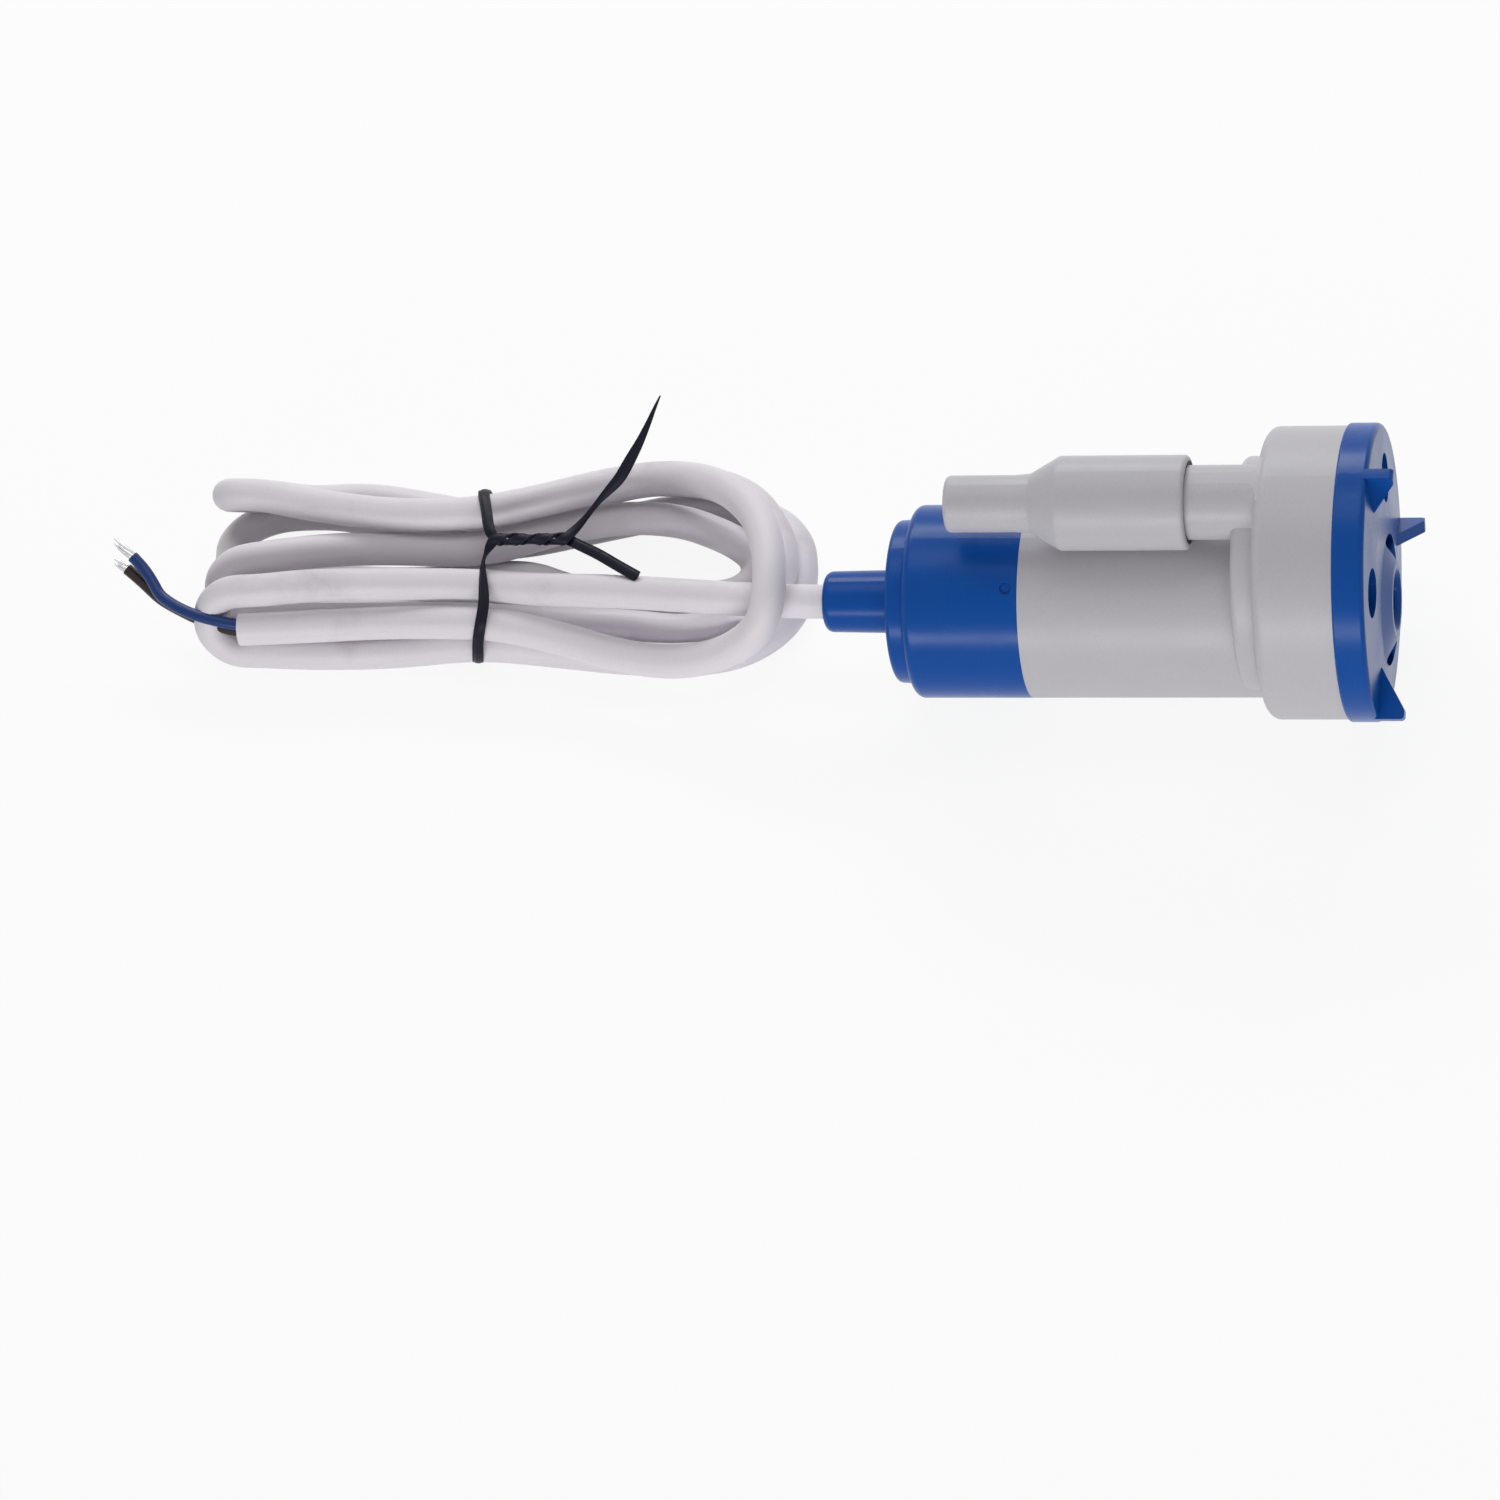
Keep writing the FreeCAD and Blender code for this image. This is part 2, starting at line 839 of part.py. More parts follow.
def armature_windings():
    """One coil round each pole neck, overhanging the stack at both ends."""
    inner = core_hub_radius + 0.1
    outer = core_radius_outer - pole_rim - 0.1
    middle = (inner + outer) / 2
    start = core_start - coil_overhang
    end = core_end + coil_overhang
    rise = outer * math.tan(math.radians(90 - 180 / pole_count))
    sector = [(0, 0), (-outer, rise), (-outer, 2 * outer), (outer, 2 * outer), (outer, rise)]
    wedge = prism(sector, start, end)
    wedge.translate(V(0, 0, 0.15))
    coil = box_about(start, end, coil_width, outer - inner, 0, middle)
    coil = coil.cut(box_about(core_start - 0.1, core_end + 0.1, pole_neck + 0.2, outer, 0, middle))
    coil = coil.common(rod(start, end, outer)).common(wedge)
    coils = []
    for pole in range(pole_count):
        turned_coil = coil.copy()
        turned_coil.rotate(V(0, 0, 0), V(1, 0, 0), pole * 360 / pole_count)
        coils.append(turned_coil)
    return Part.makeCompound(coils)


def commutator():
    end = commutator_start + commutator_length
    cuts = []
    for pole in range(pole_count):
        slot = box_about(commutator_start - 1, end - 0.8, commutator_slot, 2, 0, commutator_radius)
        slot.rotate(V(0, 0, 0), V(1, 0, 0), pole * 360 / pole_count)
        cuts.append(slot)
    return tube(commutator_start, end, commutator_radius, shaft_radius + fixed_play).cut(cuts)


def shaft_washers():
    """Spacers that fill the shaft between the bushes, the commutator and the core."""
    gaps = [
        (rear_bush_end, commutator_start),
        (commutator_start + commutator_length, core_start),
        (core_end, front_bush_end - bush_length - 0.3),
    ]
    outer = shaft_radius + washer_wall
    return Part.makeCompound([tube(start, end, outer, shaft_radius + fixed_play) for start, end in gaps])


def circle_through(first, middle, last):
    """Centre (y, z) and radius of the circle through three (y, z) points."""
    ax, ay = first
    bx, by = middle
    cx, cy = last
    scale = 2 * (ax * (by - cy) + bx * (cy - ay) + cx * (ay - by))
    a2, b2, c2 = ax * ax + ay * ay, bx * bx + by * by, cx * cx + cy * cy
    uy = (a2 * (by - cy) + b2 * (cy - ay) + c2 * (ay - by)) / scale
    uz = (a2 * (cx - bx) + b2 * (ax - cx) + c2 * (bx - ax)) / scale
    return (uy, uz), math.hypot(ax - uy, ay - uz)


def impeller_vane(start, end):
    """A backward-swept vane between two arcs about the centre of its own curve."""
    def place(radius, degrees):
        return radius * math.cos(math.radians(degrees)), radius * math.sin(math.radians(degrees))
    inner = place(vane_inner_radius, 0)
    middle = place((vane_inner_radius + impeller_radius) / 2, vane_sweep * 0.36)
    outer = place(impeller_radius - 0.3, vane_sweep)
    (cy, cz), radius = circle_through(inner, middle, outer)
    turns = [math.atan2(p[1] - cz, p[0] - cy) for p in (inner, middle, outer)]
    rows = []
    for offset in (vane_thickness / 2, -vane_thickness / 2):
        r = radius + offset
        rows.append([V(start, cy + r * math.cos(t), cz + r * math.sin(t)) for t in turns])
    edges = [
        Part.Arc(*rows[0]).toShape(),
        Part.LineSegment(rows[0][2], rows[1][2]).toShape(),
        Part.Arc(rows[1][2], rows[1][1], rows[1][0]).toShape(),
        Part.LineSegment(rows[1][0], rows[0][0]).toShape(),
    ]
    return Part.Face(Part.Wire(edges)).extrude(V(end - start, 0, 0))


def impeller():
    disc_end = impeller_start + impeller_disc
    hub = turned(
        [
            (impeller_start, 0),
            (impeller_start, impeller_radius, 0.4),
            (disc_end, impeller_radius),
            (disc_end, hub_radius, 1.0),
            (impeller_end - 1.6, hub_radius - 0.4, 1.4),
            (impeller_end - 0.2, shaft_radius + 0.5),
            (impeller_end - 0.2, 0),
        ]
    )
    vanes = []
    for count in range(vane_count):
        vane = impeller_vane(disc_end - 0.2, impeller_end - 0.2)
        vane.rotate(V(0, 0, 0), V(1, 0, 0), count * 360 / vane_count)
        vanes.append(vane)
    return joined(hub, vanes).cut(rod(impeller_start - 1, impeller_end + 1, shaft_radius + fixed_play))


def tangent_path(points):
    """Straight runs joined by tangent arcs, as large as each pair of runs allows."""
    edges = []
    radii = []
    last = points[0]
    for i in range(1, len(points) - 1):
        back = points[i - 1] - points[i]
        ahead = points[i + 1] - points[i]
        shorter = min(back.Length, ahead.Length)
        turn = math.pi - back.getAngle(ahead)
        reach = 0.45 * shorter
        radii.append(reach / math.tan(turn / 2))
        back.normalize()
        ahead.normalize()
        start = points[i] + back * reach
        end = points[i] + ahead * reach
        bisector = (back + ahead).normalize()
        depth = radii[-1] / math.cos(turn / 2) - radii[-1]
        edges.append(Part.LineSegment(last, start).toShape())
        edges.append(Part.Arc(start, points[i] + bisector * depth, end).toShape())
        last = end
    edges.append(Part.LineSegment(last, points[-1]).toShape())
    return edges, radii


def swept(edges, radius, heading):
    """One unbroken round tube along the edges."""
    path = Part.Wire(edges)
    start = path.OrderedVertexes[0].Point
    circle = Part.Wire([Part.Circle(start, heading, radius).toShape()])
    shell = Part.BRepOffsetAPI.MakePipeShell(path)
    shell.add(circle)
    shell.build()
    shell.makeSolid()
    return shell.shape()


def free_tube(name, points, radius):
    edges, radii = tangent_path(points)
    shape = swept(edges, radius, points[1] - points[0])
    length = sum(edge.Length for edge in edges)
    ideal = math.pi * radius ** 2 * length
    shown = ", ".join(str(round(value, 1)) for value in radii)
    print(name, "length", round(length, 1), "arc radii", shown)
    print(name, "volume ratio", round(shape.Volume / ideal, 4))
    return shape


def s_bend(start, end, heading):
    """Two equal arcs that shift a strand aside and leave it parallel to X."""
    step = end - start
    along = step.dot(heading)
    side = step - heading * along
    if side.Length < 1e-6:
        return [Part.LineSegment(start, end).toShape()]
    swing = 2 * math.atan(side.Length / along)
    radius = along / 2 / math.sin(swing)
    side.normalize()
    edges = []
    middle = (start + end) / 2
    first = start + heading * (radius * math.sin(swing / 2)) + side * (radius * (1 - math.cos(swing / 2)))
    second = end - heading * (radius * math.sin(swing / 2)) - side * (radius * (1 - math.cos(swing / 2)))
    edges.append(Part.Arc(start, first, middle).toShape())
    edges.append(Part.Arc(middle, second, end).toShape())
    return edges


def half_turn(start, end, heading):
    """Two quarter arcs that fold a strand back on itself."""
    middle = (start + end) / 2
    spoke = start - middle
    radius = spoke.Length
    tip = middle + heading * radius
    diagonal = math.sqrt(0.5)
    first = middle + spoke * diagonal + heading * (radius * diagonal)
    second = middle - spoke * diagonal + heading * (radius * diagonal)
    return [Part.Arc(start, first, tip).toShape(), Part.Arc(tip, second, end).toShape()]


# The hank: each strand's slot across the hank and its layer before and after the waist.
# It spirals in along the floor, climbs along its middle strand, and spirals out above.
hank_strands = [(2, 1, 1), (-2, 1, 1), (1, 1, 1), (-1, 1, 1), (0, 1, 2), (-1, 2, 2), (1, 2, 2), (-2, 2, 2)]


def slot_offset(slot):
    if slot == 0:
        return loop_inner
    return math.copysign(loop_inner + loop_step * abs(slot), slot)


def hank_point(x, slot, layer, waist=False):
    offset = slot_offset(slot)
    if waist:
        offset -= math.copysign(waist_draw, offset)
    height = layer_one + layer_step * (layer - 1)
    if waist:
        height += waist_lift
    return V(x, hank_centre_y + offset, height)


def hank_edges():
    edges = []
    left = hank_left - lead_turn_back
    start = V(left + 2 * cable_radius, lead_side, lead_level)
    turn_start = V(left, lead_side, lead_level)
    edges.append(Part.LineSegment(start, turn_start).toShape())
    place = turn_start
    for number, (slot, before, after) in enumerate(hank_strands):
        heading = V(1, 0, 0) if number % 2 == 0 else V(-1, 0, 0)
        near, far = (hank_left, hank_right) if number % 2 == 0 else (hank_right, hank_left)
        if number == 0:
            near = left
        entry = hank_point(near, slot, before)
        waist = hank_point(hank_waist, slot, (before + after) / 2 if before != after else before, True)
        leave = hank_point(far, slot, after)
        edges += half_turn(place, entry, V(-1, 0, 0) * heading.x)
        if number == 0:
            level = hank_point(hank_left, slot, before)
            edges.append(Part.LineSegment(entry, level).toShape())
            entry = level
        edges += s_bend(entry, waist, heading)
        edges += s_bend(waist, leave, heading)
        place = leave
    edges.append(Part.LineSegment(place, V(cut_end, place.y, place.z)).toShape())
    return edges


def least_gap(edges, radius, spacing=1.6):
    """The least clear distance between parts of the tube that aren't neighbours."""
    points = []
    travelled = 0.0
    for edge in edges:
        count = max(2, int(edge.Length / spacing) + 1)
        row = edge.discretize(Number=count)
        for index, point in enumerate(row[:-1]):
            points.append((travelled + edge.Length * index / (count - 1), point))
        travelled += edge.Length
    least = 1e9
    for i, (si, pi) in enumerate(points):
        for sj, pj in points[i + 1:]:
            if sj - si > 12 * radius:
                least = min(least, (pi - pj).Length)
    return least - 2 * radius


def cable_hank():
    edges = hank_edges()
    shape = swept(edges, cable_radius, V(-1, 0, 0))
    length = sum(edge.Length for edge in edges)
    ideal = math.pi * cable_radius ** 2 * length
    print("cable_hank length", round(length, 1), "volume ratio", round(shape.Volume / ideal, 4),
          "least gap", round(least_gap(edges, cable_radius), 3))
    return shape


def cable_lead():
    end_x = hank_left - lead_turn_back + 2 * cable_radius
    points = [
        V(gland_tip, 0, 0),
        V(gland_tip - lead_run, 0, 0),
        V(hank_waist + lead_over_waist, lead_side, lead_level),
        V(end_x, lead_side, lead_level),
    ]
    return free_tube("cable_lead", points, cable_radius)


def cut_face():
    """Where the jacket is cut back, at the end of the hank's last strand."""
    level = hank_point(cut_end, -2, 2)
    return V(cut_end, level.y, level.z)


def core_points(route):
    face = cut_face()
    return [face + V(*step) for step in route]


def core_blue_end():
    return free_tube("core_blue_end", core_points(blue_route), core_radius)


def core_brown_end():
    return free_tube("core_brown_end", core_points(brown_route), core_radius)


def tinned_end(route):
    points = core_points(route)
    heading = (points[-1] - points[-2]).normalize()
    return Part.makeCylinder(strand_radius, tinned_length, points[-1], heading)


def tinned_ends():
    return Part.makeCompound([tinned_end(blue_route), tinned_end(brown_route)])


def inner_lead(name, side):
    """A core inside the cap, from the end of the lead to its motor terminal."""
    spread = cable_radius - core_radius - 0.45
    beside = terminal_side + terminal_thickness / 2 + core_radius + 0.1
    points = [
        V(lead_inside, side * spread, 0),
        V(lead_inside + 6, side * spread, 0),
        V(terminal_tip - 6, side * beside, 0),
        V(terminal_tip + 1, side * beside, 0),
    ]
    return free_tube(name, points, core_radius)


def lead_blue_inner():
    return inner_lead("lead_blue_inner", -1)


def lead_brown_inner():
    return inner_lead("lead_brown_inner", 1)


def bundle_outline(spread):
    """A band outline round the strands at the waist of the hank."""
    low = layer_one + waist_lift
    high = layer_two + waist_lift
    far = slot_offset(2) - waist_draw
    near = slot_offset(1) - waist_draw
    corners = [
        (hank_centre_y - far, low),
        (hank_centre_y + far, low),
        (hank_centre_y + near, high),
        (lead_side, lead_level),
        (hank_centre_y - far, high),
    ]
    points = [V(hank_waist, y, z) for y, z in corners]
    wire = Part.makePolygon(points + points[:1])
    return wire.makeOffset2D(cable_radius + spread)


def twist_tie():
    """A wire tie: a band round the hank, a twisted neck and two loose tails."""
    outer = Part.Face(bundle_outline(tie_play + tie_thickness)).extrude(V(tie_width, 0, 0))
    inner = Part.Face(bundle_outline(tie_play)).extrude(V(tie_width, 0, 0))
    band = outer.cut(inner)
    knot = V(hank_waist + tie_width / 2, lead_side + 1.75 * cable_radius, lead_level + cable_radius - 0.2)
    neck_heading = V(1, 0.1, 0.04).normalize()
    fork = knot + neck_heading * tie_neck
    neck = Part.makeCylinder(tie_neck_radius, tie_neck, knot, neck_heading)
    tails = []
    for reach in (V(*flat_tail), V(*short_tail)):
        side = reach.cross(V(0, 0, 1)).normalize() * (tail_width / 2)
        up = reach.cross(side).normalize() * (tail_thickness / 2)
        corners = [fork + side + up, fork - side + up, fork - side - up, fork + side - up]
        face = Part.Face(Part.makePolygon(corners + corners[:1]))
        tails.append(face.extrude(reach))
    ball = Part.makeSphere(tie_knot_radius, knot)
    return joined(band, [ball, neck] + tails)


builders = {
    "motor_housing": motor_housing,
    "end_cap": end_cap,
    "cap_seal_ring": cap_seal_ring,
    "cable_grommet": cable_grommet,
    "cable_inner": cable_inner,
    "lead_blue_inner": lead_blue_inner,
    "lead_brown_inner": lead_brown_inner,
    "base_plate": base_plate,
    "chamber_cover": chamber_cover,
    "base_gasket": base_gasket,
    "base_screws": base_screws,
    "shaft_seal": shaft_seal,
    "seal_retainer": seal_retainer,
    "valve_body": valve_body,
    "valve_end_ring": valve_end_ring,
    "valve_seat": valve_seat,
    "valve_poppet": valve_poppet,
    "poppet_seal": poppet_seal,
    "motor_can": motor_can,
    "motor_end_bell": motor_end_bell,
    "motor_terminals": motor_terminals,
    "mount_rings": mount_rings,
    "magnets": magnets,
    "front_bush": front_bush,
    "rear_bush": rear_bush,
    "brushes": brushes,
    "brush_arms": brush_arms,
    "rotor_shaft": rotor_shaft,
    "armature_core": armature_core,
    "armature_windings": armature_windings,
    "commutator": commutator,
    "shaft_washers": shaft_washers,
    "impeller": impeller,
    "cable_lead": cable_lead,
    "cable_hank": cable_hank,
    "core_blue_end": core_blue_end,
    "core_brown_end": core_brown_end,
    "tinned_ends": tinned_ends,
    "twist_tie": twist_tie,
}


def main():
    os.makedirs("parts", exist_ok=True)
    for name, build in builders.items():
        shape = build()
        shape.translate(V(-pump_middle, 0, -floor_z))
        if not shape.isValid() or shape.Volume <= 0:
            print("CHECK", name, shape.isValid(), shape.Volume)
        shape.exportStep("parts/" + name + ".step")


main()
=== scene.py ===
import json
import math

import bmesh
import bpy
from mathutils import Matrix, Vector

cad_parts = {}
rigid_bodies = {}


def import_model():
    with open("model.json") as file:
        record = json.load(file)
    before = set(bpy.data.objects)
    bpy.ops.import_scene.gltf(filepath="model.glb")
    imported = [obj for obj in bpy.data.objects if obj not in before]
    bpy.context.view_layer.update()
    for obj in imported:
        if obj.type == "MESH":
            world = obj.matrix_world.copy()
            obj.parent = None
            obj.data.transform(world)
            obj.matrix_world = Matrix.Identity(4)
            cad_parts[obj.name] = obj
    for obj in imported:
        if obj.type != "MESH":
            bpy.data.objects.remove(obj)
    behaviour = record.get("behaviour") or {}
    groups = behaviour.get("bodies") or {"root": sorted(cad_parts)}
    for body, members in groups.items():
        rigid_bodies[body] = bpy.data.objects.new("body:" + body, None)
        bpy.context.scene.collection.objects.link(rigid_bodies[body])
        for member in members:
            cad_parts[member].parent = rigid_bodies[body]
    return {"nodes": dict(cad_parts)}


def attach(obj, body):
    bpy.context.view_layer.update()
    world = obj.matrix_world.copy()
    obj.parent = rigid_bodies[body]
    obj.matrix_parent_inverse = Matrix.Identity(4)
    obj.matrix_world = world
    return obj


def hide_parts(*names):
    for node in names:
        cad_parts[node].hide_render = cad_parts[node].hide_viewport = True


for spare in list(bpy.data.objects):
    bpy.data.objects.remove(spare)  # the starting cube, lamp and camera
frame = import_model()
bpy.context.view_layer.update()
print("frame loaded")

# The pump's own axes: millimetres from the shoulder of the end cap, along and about the motor axis
pumpAxes = {"shoulderX": -37.95, "axisZ": 19.95}


def atPump(point):
    x, y, z = point
    return Vector((x + pumpAxes["shoulderX"], y, z + pumpAxes["axisZ"])) / 1000


# A colour as written in a picture editor, 0 to 255, in the linear values that a shader takes
def tint(colour):
    channels = [value / 255 for value in colour]
    return (*[c / 12.92 if c <= 0.04045 else ((c + 0.055) / 1.055) ** 2.4 for c in channels], 1.0)


# Camera

cameraSetup = {
    "azimuth": 19.49,  # degrees, counted from the view along +Y
    "elevation": 49.2,
    "roll": 14.95,  # the photograph is levelled on the motor's axis
    "distance": 1.358,
    "lens": 172.73,
    "aim": (-0.0689, -0.02613, 0.0076),
}


def addCamera(setup):
    turn, height, roll = [math.radians(setup[name]) for name in ("azimuth", "elevation", "roll")]
    back = Vector((math.sin(turn) * math.cos(height), -math.cos(turn) * math.cos(height), math.sin(height)))
    level = Vector((math.cos(turn), math.sin(turn), 0))
    upright = back.cross(level)
    right = level * math.cos(roll) - upright * math.sin(roll)
    up = level * math.sin(roll) + upright * math.cos(roll)
    data = bpy.data.cameras.new("photoCamera")
    data.lens = setup["lens"]
    data.sensor_width = 36
    data.clip_start = 0.01
    data.clip_end = 50
    camera = bpy.data.objects.new("photoCamera", data)
    bpy.context.scene.collection.objects.link(camera)
    place = Matrix((right, up, back)).transposed().to_4x4()
    place.translation = Vector(setup["aim"]) + back * setup["distance"]
    camera.matrix_world = place
    bpy.context.scene.camera = camera


addCamera(cameraSetup)
bpy.context.scene.view_settings.view_transform = "Standard"
print("camera set")

# Node helpers


def makeGroup(name, inputs, outputs):
    tree = bpy.data.node_groups.new(name, "ShaderNodeTree")
    for label, kind, value in inputs:
        socket = tree.interface.new_socket(label, in_out="INPUT", socket_type="NodeSocket" + kind)
        if value is not None:
            socket.default_value = value
    for label, kind in outputs:
        tree.interface.new_socket(label, in_out="OUTPUT", socket_type="NodeSocket" + kind)
    return tree, tree.nodes.new("NodeGroupInput").outputs, tree.nodes.new("NodeGroupOutput").inputs


def addNode(tree, kind, links=None, **settings):
    node = tree.nodes.new("ShaderNode" + kind)
    for name, value in settings.items():
        setattr(node, name, value)
    for label, value in (links or {}).items():  # a socket is linked, and any other value is set
        if isinstance(value, bpy.types.NodeSocket):
            tree.links.new(value, node.inputs[label])
        else:
            node.inputs[label].default_value = value
    return node


def noise(tree, vector, scale, detail=2.0, roughness=0.5):
    links = {"Vector": vector, "Scale": scale, "Detail": detail, "Roughness": roughness}
    return addNode(tree, "TexNoise", links).outputs["Fac"]


def remap(tree, value, low, high, toLow=0.0, toHigh=1.0):
    links = {"Value": value, "From Min": low, "From Max": high, "To Min": toLow, "To Max": toHigh}
    return addNode(tree, "MapRange", links).outputs["Result"]


def arithmetic(tree, operation, first, second):
    return addNode(tree, "Math", {0: first, 1: second}, operation=operation).outputs[0]


def mixColour(tree, factor, first, second):
    links = {0: factor, 6: first, 7: second}  # the Mix node has one set of sockets for each kind of value
    return addNode(tree, "Mix", links, data_type="RGBA").outputs[2]


# Shader groups shared by the finishes

noiseMiddle = (0.3, 0.7)  # most of a noise's values lie between these


def buildTone():
    inputs = [("Vector", "Vector", None), ("Colour", "Color", None),
              ("Patch Scale", "Float", 60.0), ("Patch Depth", "Float", 0.05),
              ("Speck Scale", "Float", 2500.0), ("Speck Depth", "Float", 0.03)]
    tree, given, made = makeGroup("tone", inputs, [("Colour", "Color")])
    patches = noise(tree, given["Vector"], given["Patch Scale"], 3.0)
    specks = noise(tree, given["Vector"], given["Speck Scale"], 1.0)
    swing = arithmetic(tree, "MULTIPLY", arithmetic(tree, "SUBTRACT", patches, 0.5), given["Patch Depth"])
    fleck = arithmetic(tree, "MULTIPLY", arithmetic(tree, "SUBTRACT", specks, 0.5), given["Speck Depth"])
    level = arithmetic(tree, "ADD", arithmetic(tree, "ADD", swing, fleck), 1.0)
    scaled = addNode(tree, "VectorMath", {0: given["Colour"], "Scale": level}, operation="SCALE")
    tree.links.new(scaled.outputs[0], made["Colour"])
    return tree


def buildSkin():
    inputs = [("Vector", "Vector", None),
              ("Grain Scale", "Float", 1500.0), ("Grain Depth", "Float", 0.00001),
              ("Wave Scale", "Float", 90.0), ("Wave Depth", "Float", 0.00003),
              ("Rough Low", "Float", 0.3), ("Rough High", "Float", 0.4)]
    tree, given, made = makeGroup("skin", inputs, [("Normal", "Vector"), ("Roughness", "Float")])
    grain = noise(tree, given["Vector"], given["Grain Scale"], 2.0)
    wave = noise(tree, given["Vector"], given["Wave Scale"], 2.0)
    fine = addNode(tree, "Bump", {"Strength": 1.0, "Distance": given["Grain Depth"], "Height": grain})
    broad = addNode(tree, "Bump", {"Strength": 1.0, "Distance": given["Wave Depth"], "Height": wave,
                                   "Normal": fine.outputs[0]})
    rough = remap(tree, wave, *noiseMiddle, given["Rough Low"], given["Rough High"])
    tree.links.new(broad.outputs[0], made["Normal"])
    tree.links.new(rough, made["Roughness"])
    return tree


smudgeShape = {
    "edge": (0.56, 0.72),  # the noise's values where a smudge starts and where it is full
    "finer": 9.0,  # how much finer the pattern that breaks it up is
    "brokenEdge": (0.35, 0.65),
    "leastLeft": 0.35,
}


def buildSmudges():
    inputs = [("Vector", "Vector", None), ("Scale", "Float", 70.0), ("Amount", "Float", 0.3)]
    tree, given, made = makeGroup("smudges", inputs, [("Mask", "Float")])
    fineScale = arithmetic(tree, "MULTIPLY", given["Scale"], smudgeShape["finer"])
    blots = noise(tree, given["Vector"], given["Scale"], 4.0, 0.62)
    breakUp = noise(tree, given["Vector"], fineScale, 3.0, 0.7)
    patches = remap(tree, blots, *smudgeShape["edge"])
    left = remap(tree, breakUp, *smudgeShape["brokenEdge"], smudgeShape["leastLeft"], 1.0)
    broken = arithmetic(tree, "MULTIPLY", patches, left)
    tree.links.new(arithmetic(tree, "MULTIPLY", broken, given["Amount"]), made["Mask"])
    return tree


scratchShape = {
    # how each of the two sets is turned, in radians, and how far it is drawn out
    "sets": (((0.5, 0.35, 0.8), 0.05), ((-0.9, -0.63, -1.44), 0.04)),
    "edge": (0.66, 0.74),
    "gapScale": 120.0,
    "gapEdge": (0.48, 0.62),
}


def buildScratches():
    inputs = [("Vector", "Vector", None), ("Scale", "Float", 300.0), ("Amount", "Float", 0.3)]
    tree, given, made = makeGroup("scratches", inputs, [("Mask", "Float")])
    masks = []
    for turn, stretch in scratchShape["sets"]:
        links = {"Vector": given["Vector"], "Rotation": turn, "Scale": (stretch, 1.0, 1.0)}
        lines = noise(tree, addNode(tree, "Mapping", links).outputs[0], given["Scale"], 2.0, 0.6)
        masks.append(remap(tree, lines, *scratchShape["edge"]))
    both = arithmetic(tree, "MAXIMUM", masks[0], masks[1])
    spread = noise(tree, given["Vector"], scratchShape["gapScale"], 2.0)
    gaps = remap(tree, spread, *scratchShape["gapEdge"])
    patchy = arithmetic(tree, "MULTIPLY", both, gaps)
    tree.links.new(arithmetic(tree, "MULTIPLY", patchy, given["Amount"]), made["Mask"])
    return tree


# Fine rings about the motor axis, which the Object coordinates are centred on
def buildTurned():
    inputs = [("Vector", "Vector", None), ("Scale", "Float", 1800.0), ("Depth", "Float", 0.000012)]
    tree, given, made = makeGroup("turnedMarks", inputs, [("Normal", "Vector"), ("Mask", "Float")])
    parts = addNode(tree, "SeparateXYZ", {0: given["Vector"]})
    flat = addNode(tree, "CombineXYZ", {1: parts.outputs[1], 2: parts.outputs[2]})
    radius = addNode(tree, "VectorMath", {0: flat.outputs[0]}, operation="LENGTH").outputs["Value"]
    along = addNode(tree, "CombineXYZ", {0: parts.outputs[0], 1: radius})
    lines = noise(tree, along.outputs[0], given["Scale"], 3.0, 0.7)
    bump = addNode(tree, "Bump", {"Strength": 1.0, "Distance": given["Depth"], "Height": lines})
    tree.links.new(bump.outputs[0], made["Normal"])
    tree.links.new(lines, made["Mask"])
    return tree


def buildWound():
    inputs = [("Vector", "Vector", None), ("Wire", "Float", 0.0004), ("Depth", "Float", 0.00012)]
    tree, given, made = makeGroup("woundWire", inputs, [("Normal", "Vector"), ("Mask", "Float")])
    parts = addNode(tree, "SeparateXYZ", {0: given["Vector"]})
    across = arithmetic(tree, "ADD", parts.outputs[1], parts.outputs[2])
    turns = arithmetic(tree, "DIVIDE", across, given["Wire"])
    angle = arithmetic(tree, "MULTIPLY", turns, math.pi)
    ridge = addNode(tree, "Math", {0: angle}, operation="SINE").outputs[0]
    rounded = addNode(tree, "Math", {0: ridge}, operation="ABSOLUTE").outputs[0]
    bump = addNode(tree, "Bump", {"Strength": 1.0, "Distance": given["Depth"], "Height": rounded})
    tree.links.new(bump.outputs[0], made["Normal"])
    tree.links.new(rounded, made["Mask"])
    return tree


groups = {
    "tone": buildTone(),
    "skin": buildSkin(),
    "smudges": buildSmudges(),
    "scratches": buildScratches(),
    "turned": buildTurned(),
    "wound": buildWound(),
}


def useGroup(tree, name, links):
    return addNode(tree, "Group", links, node_tree=groups[name]).outputs


def startMaterial(name, centre=(0, 0, 0), **sockets):
    material = bpy.data.materials.new(name)
    material.use_nodes = True
    tree = material.node_tree
    shader = tree.nodes["Principled BSDF"]
    for label, value in sockets.items():
        shader.inputs[label.replace("_", " ")].default_value = value
    position = addNode(tree, "TexCoord").outputs["Object"]
    if any(centre):
        centred = {"Vector": position, "Location": [-c for c in centre]}
        position = addNode(tree, "Mapping", centred).outputs[0]
    return material, tree, shader.inputs, position


# Finishes

smudgeRough = {"plastic": 0.25, "metal": 0.3}  # what a full smudge adds to the roughness


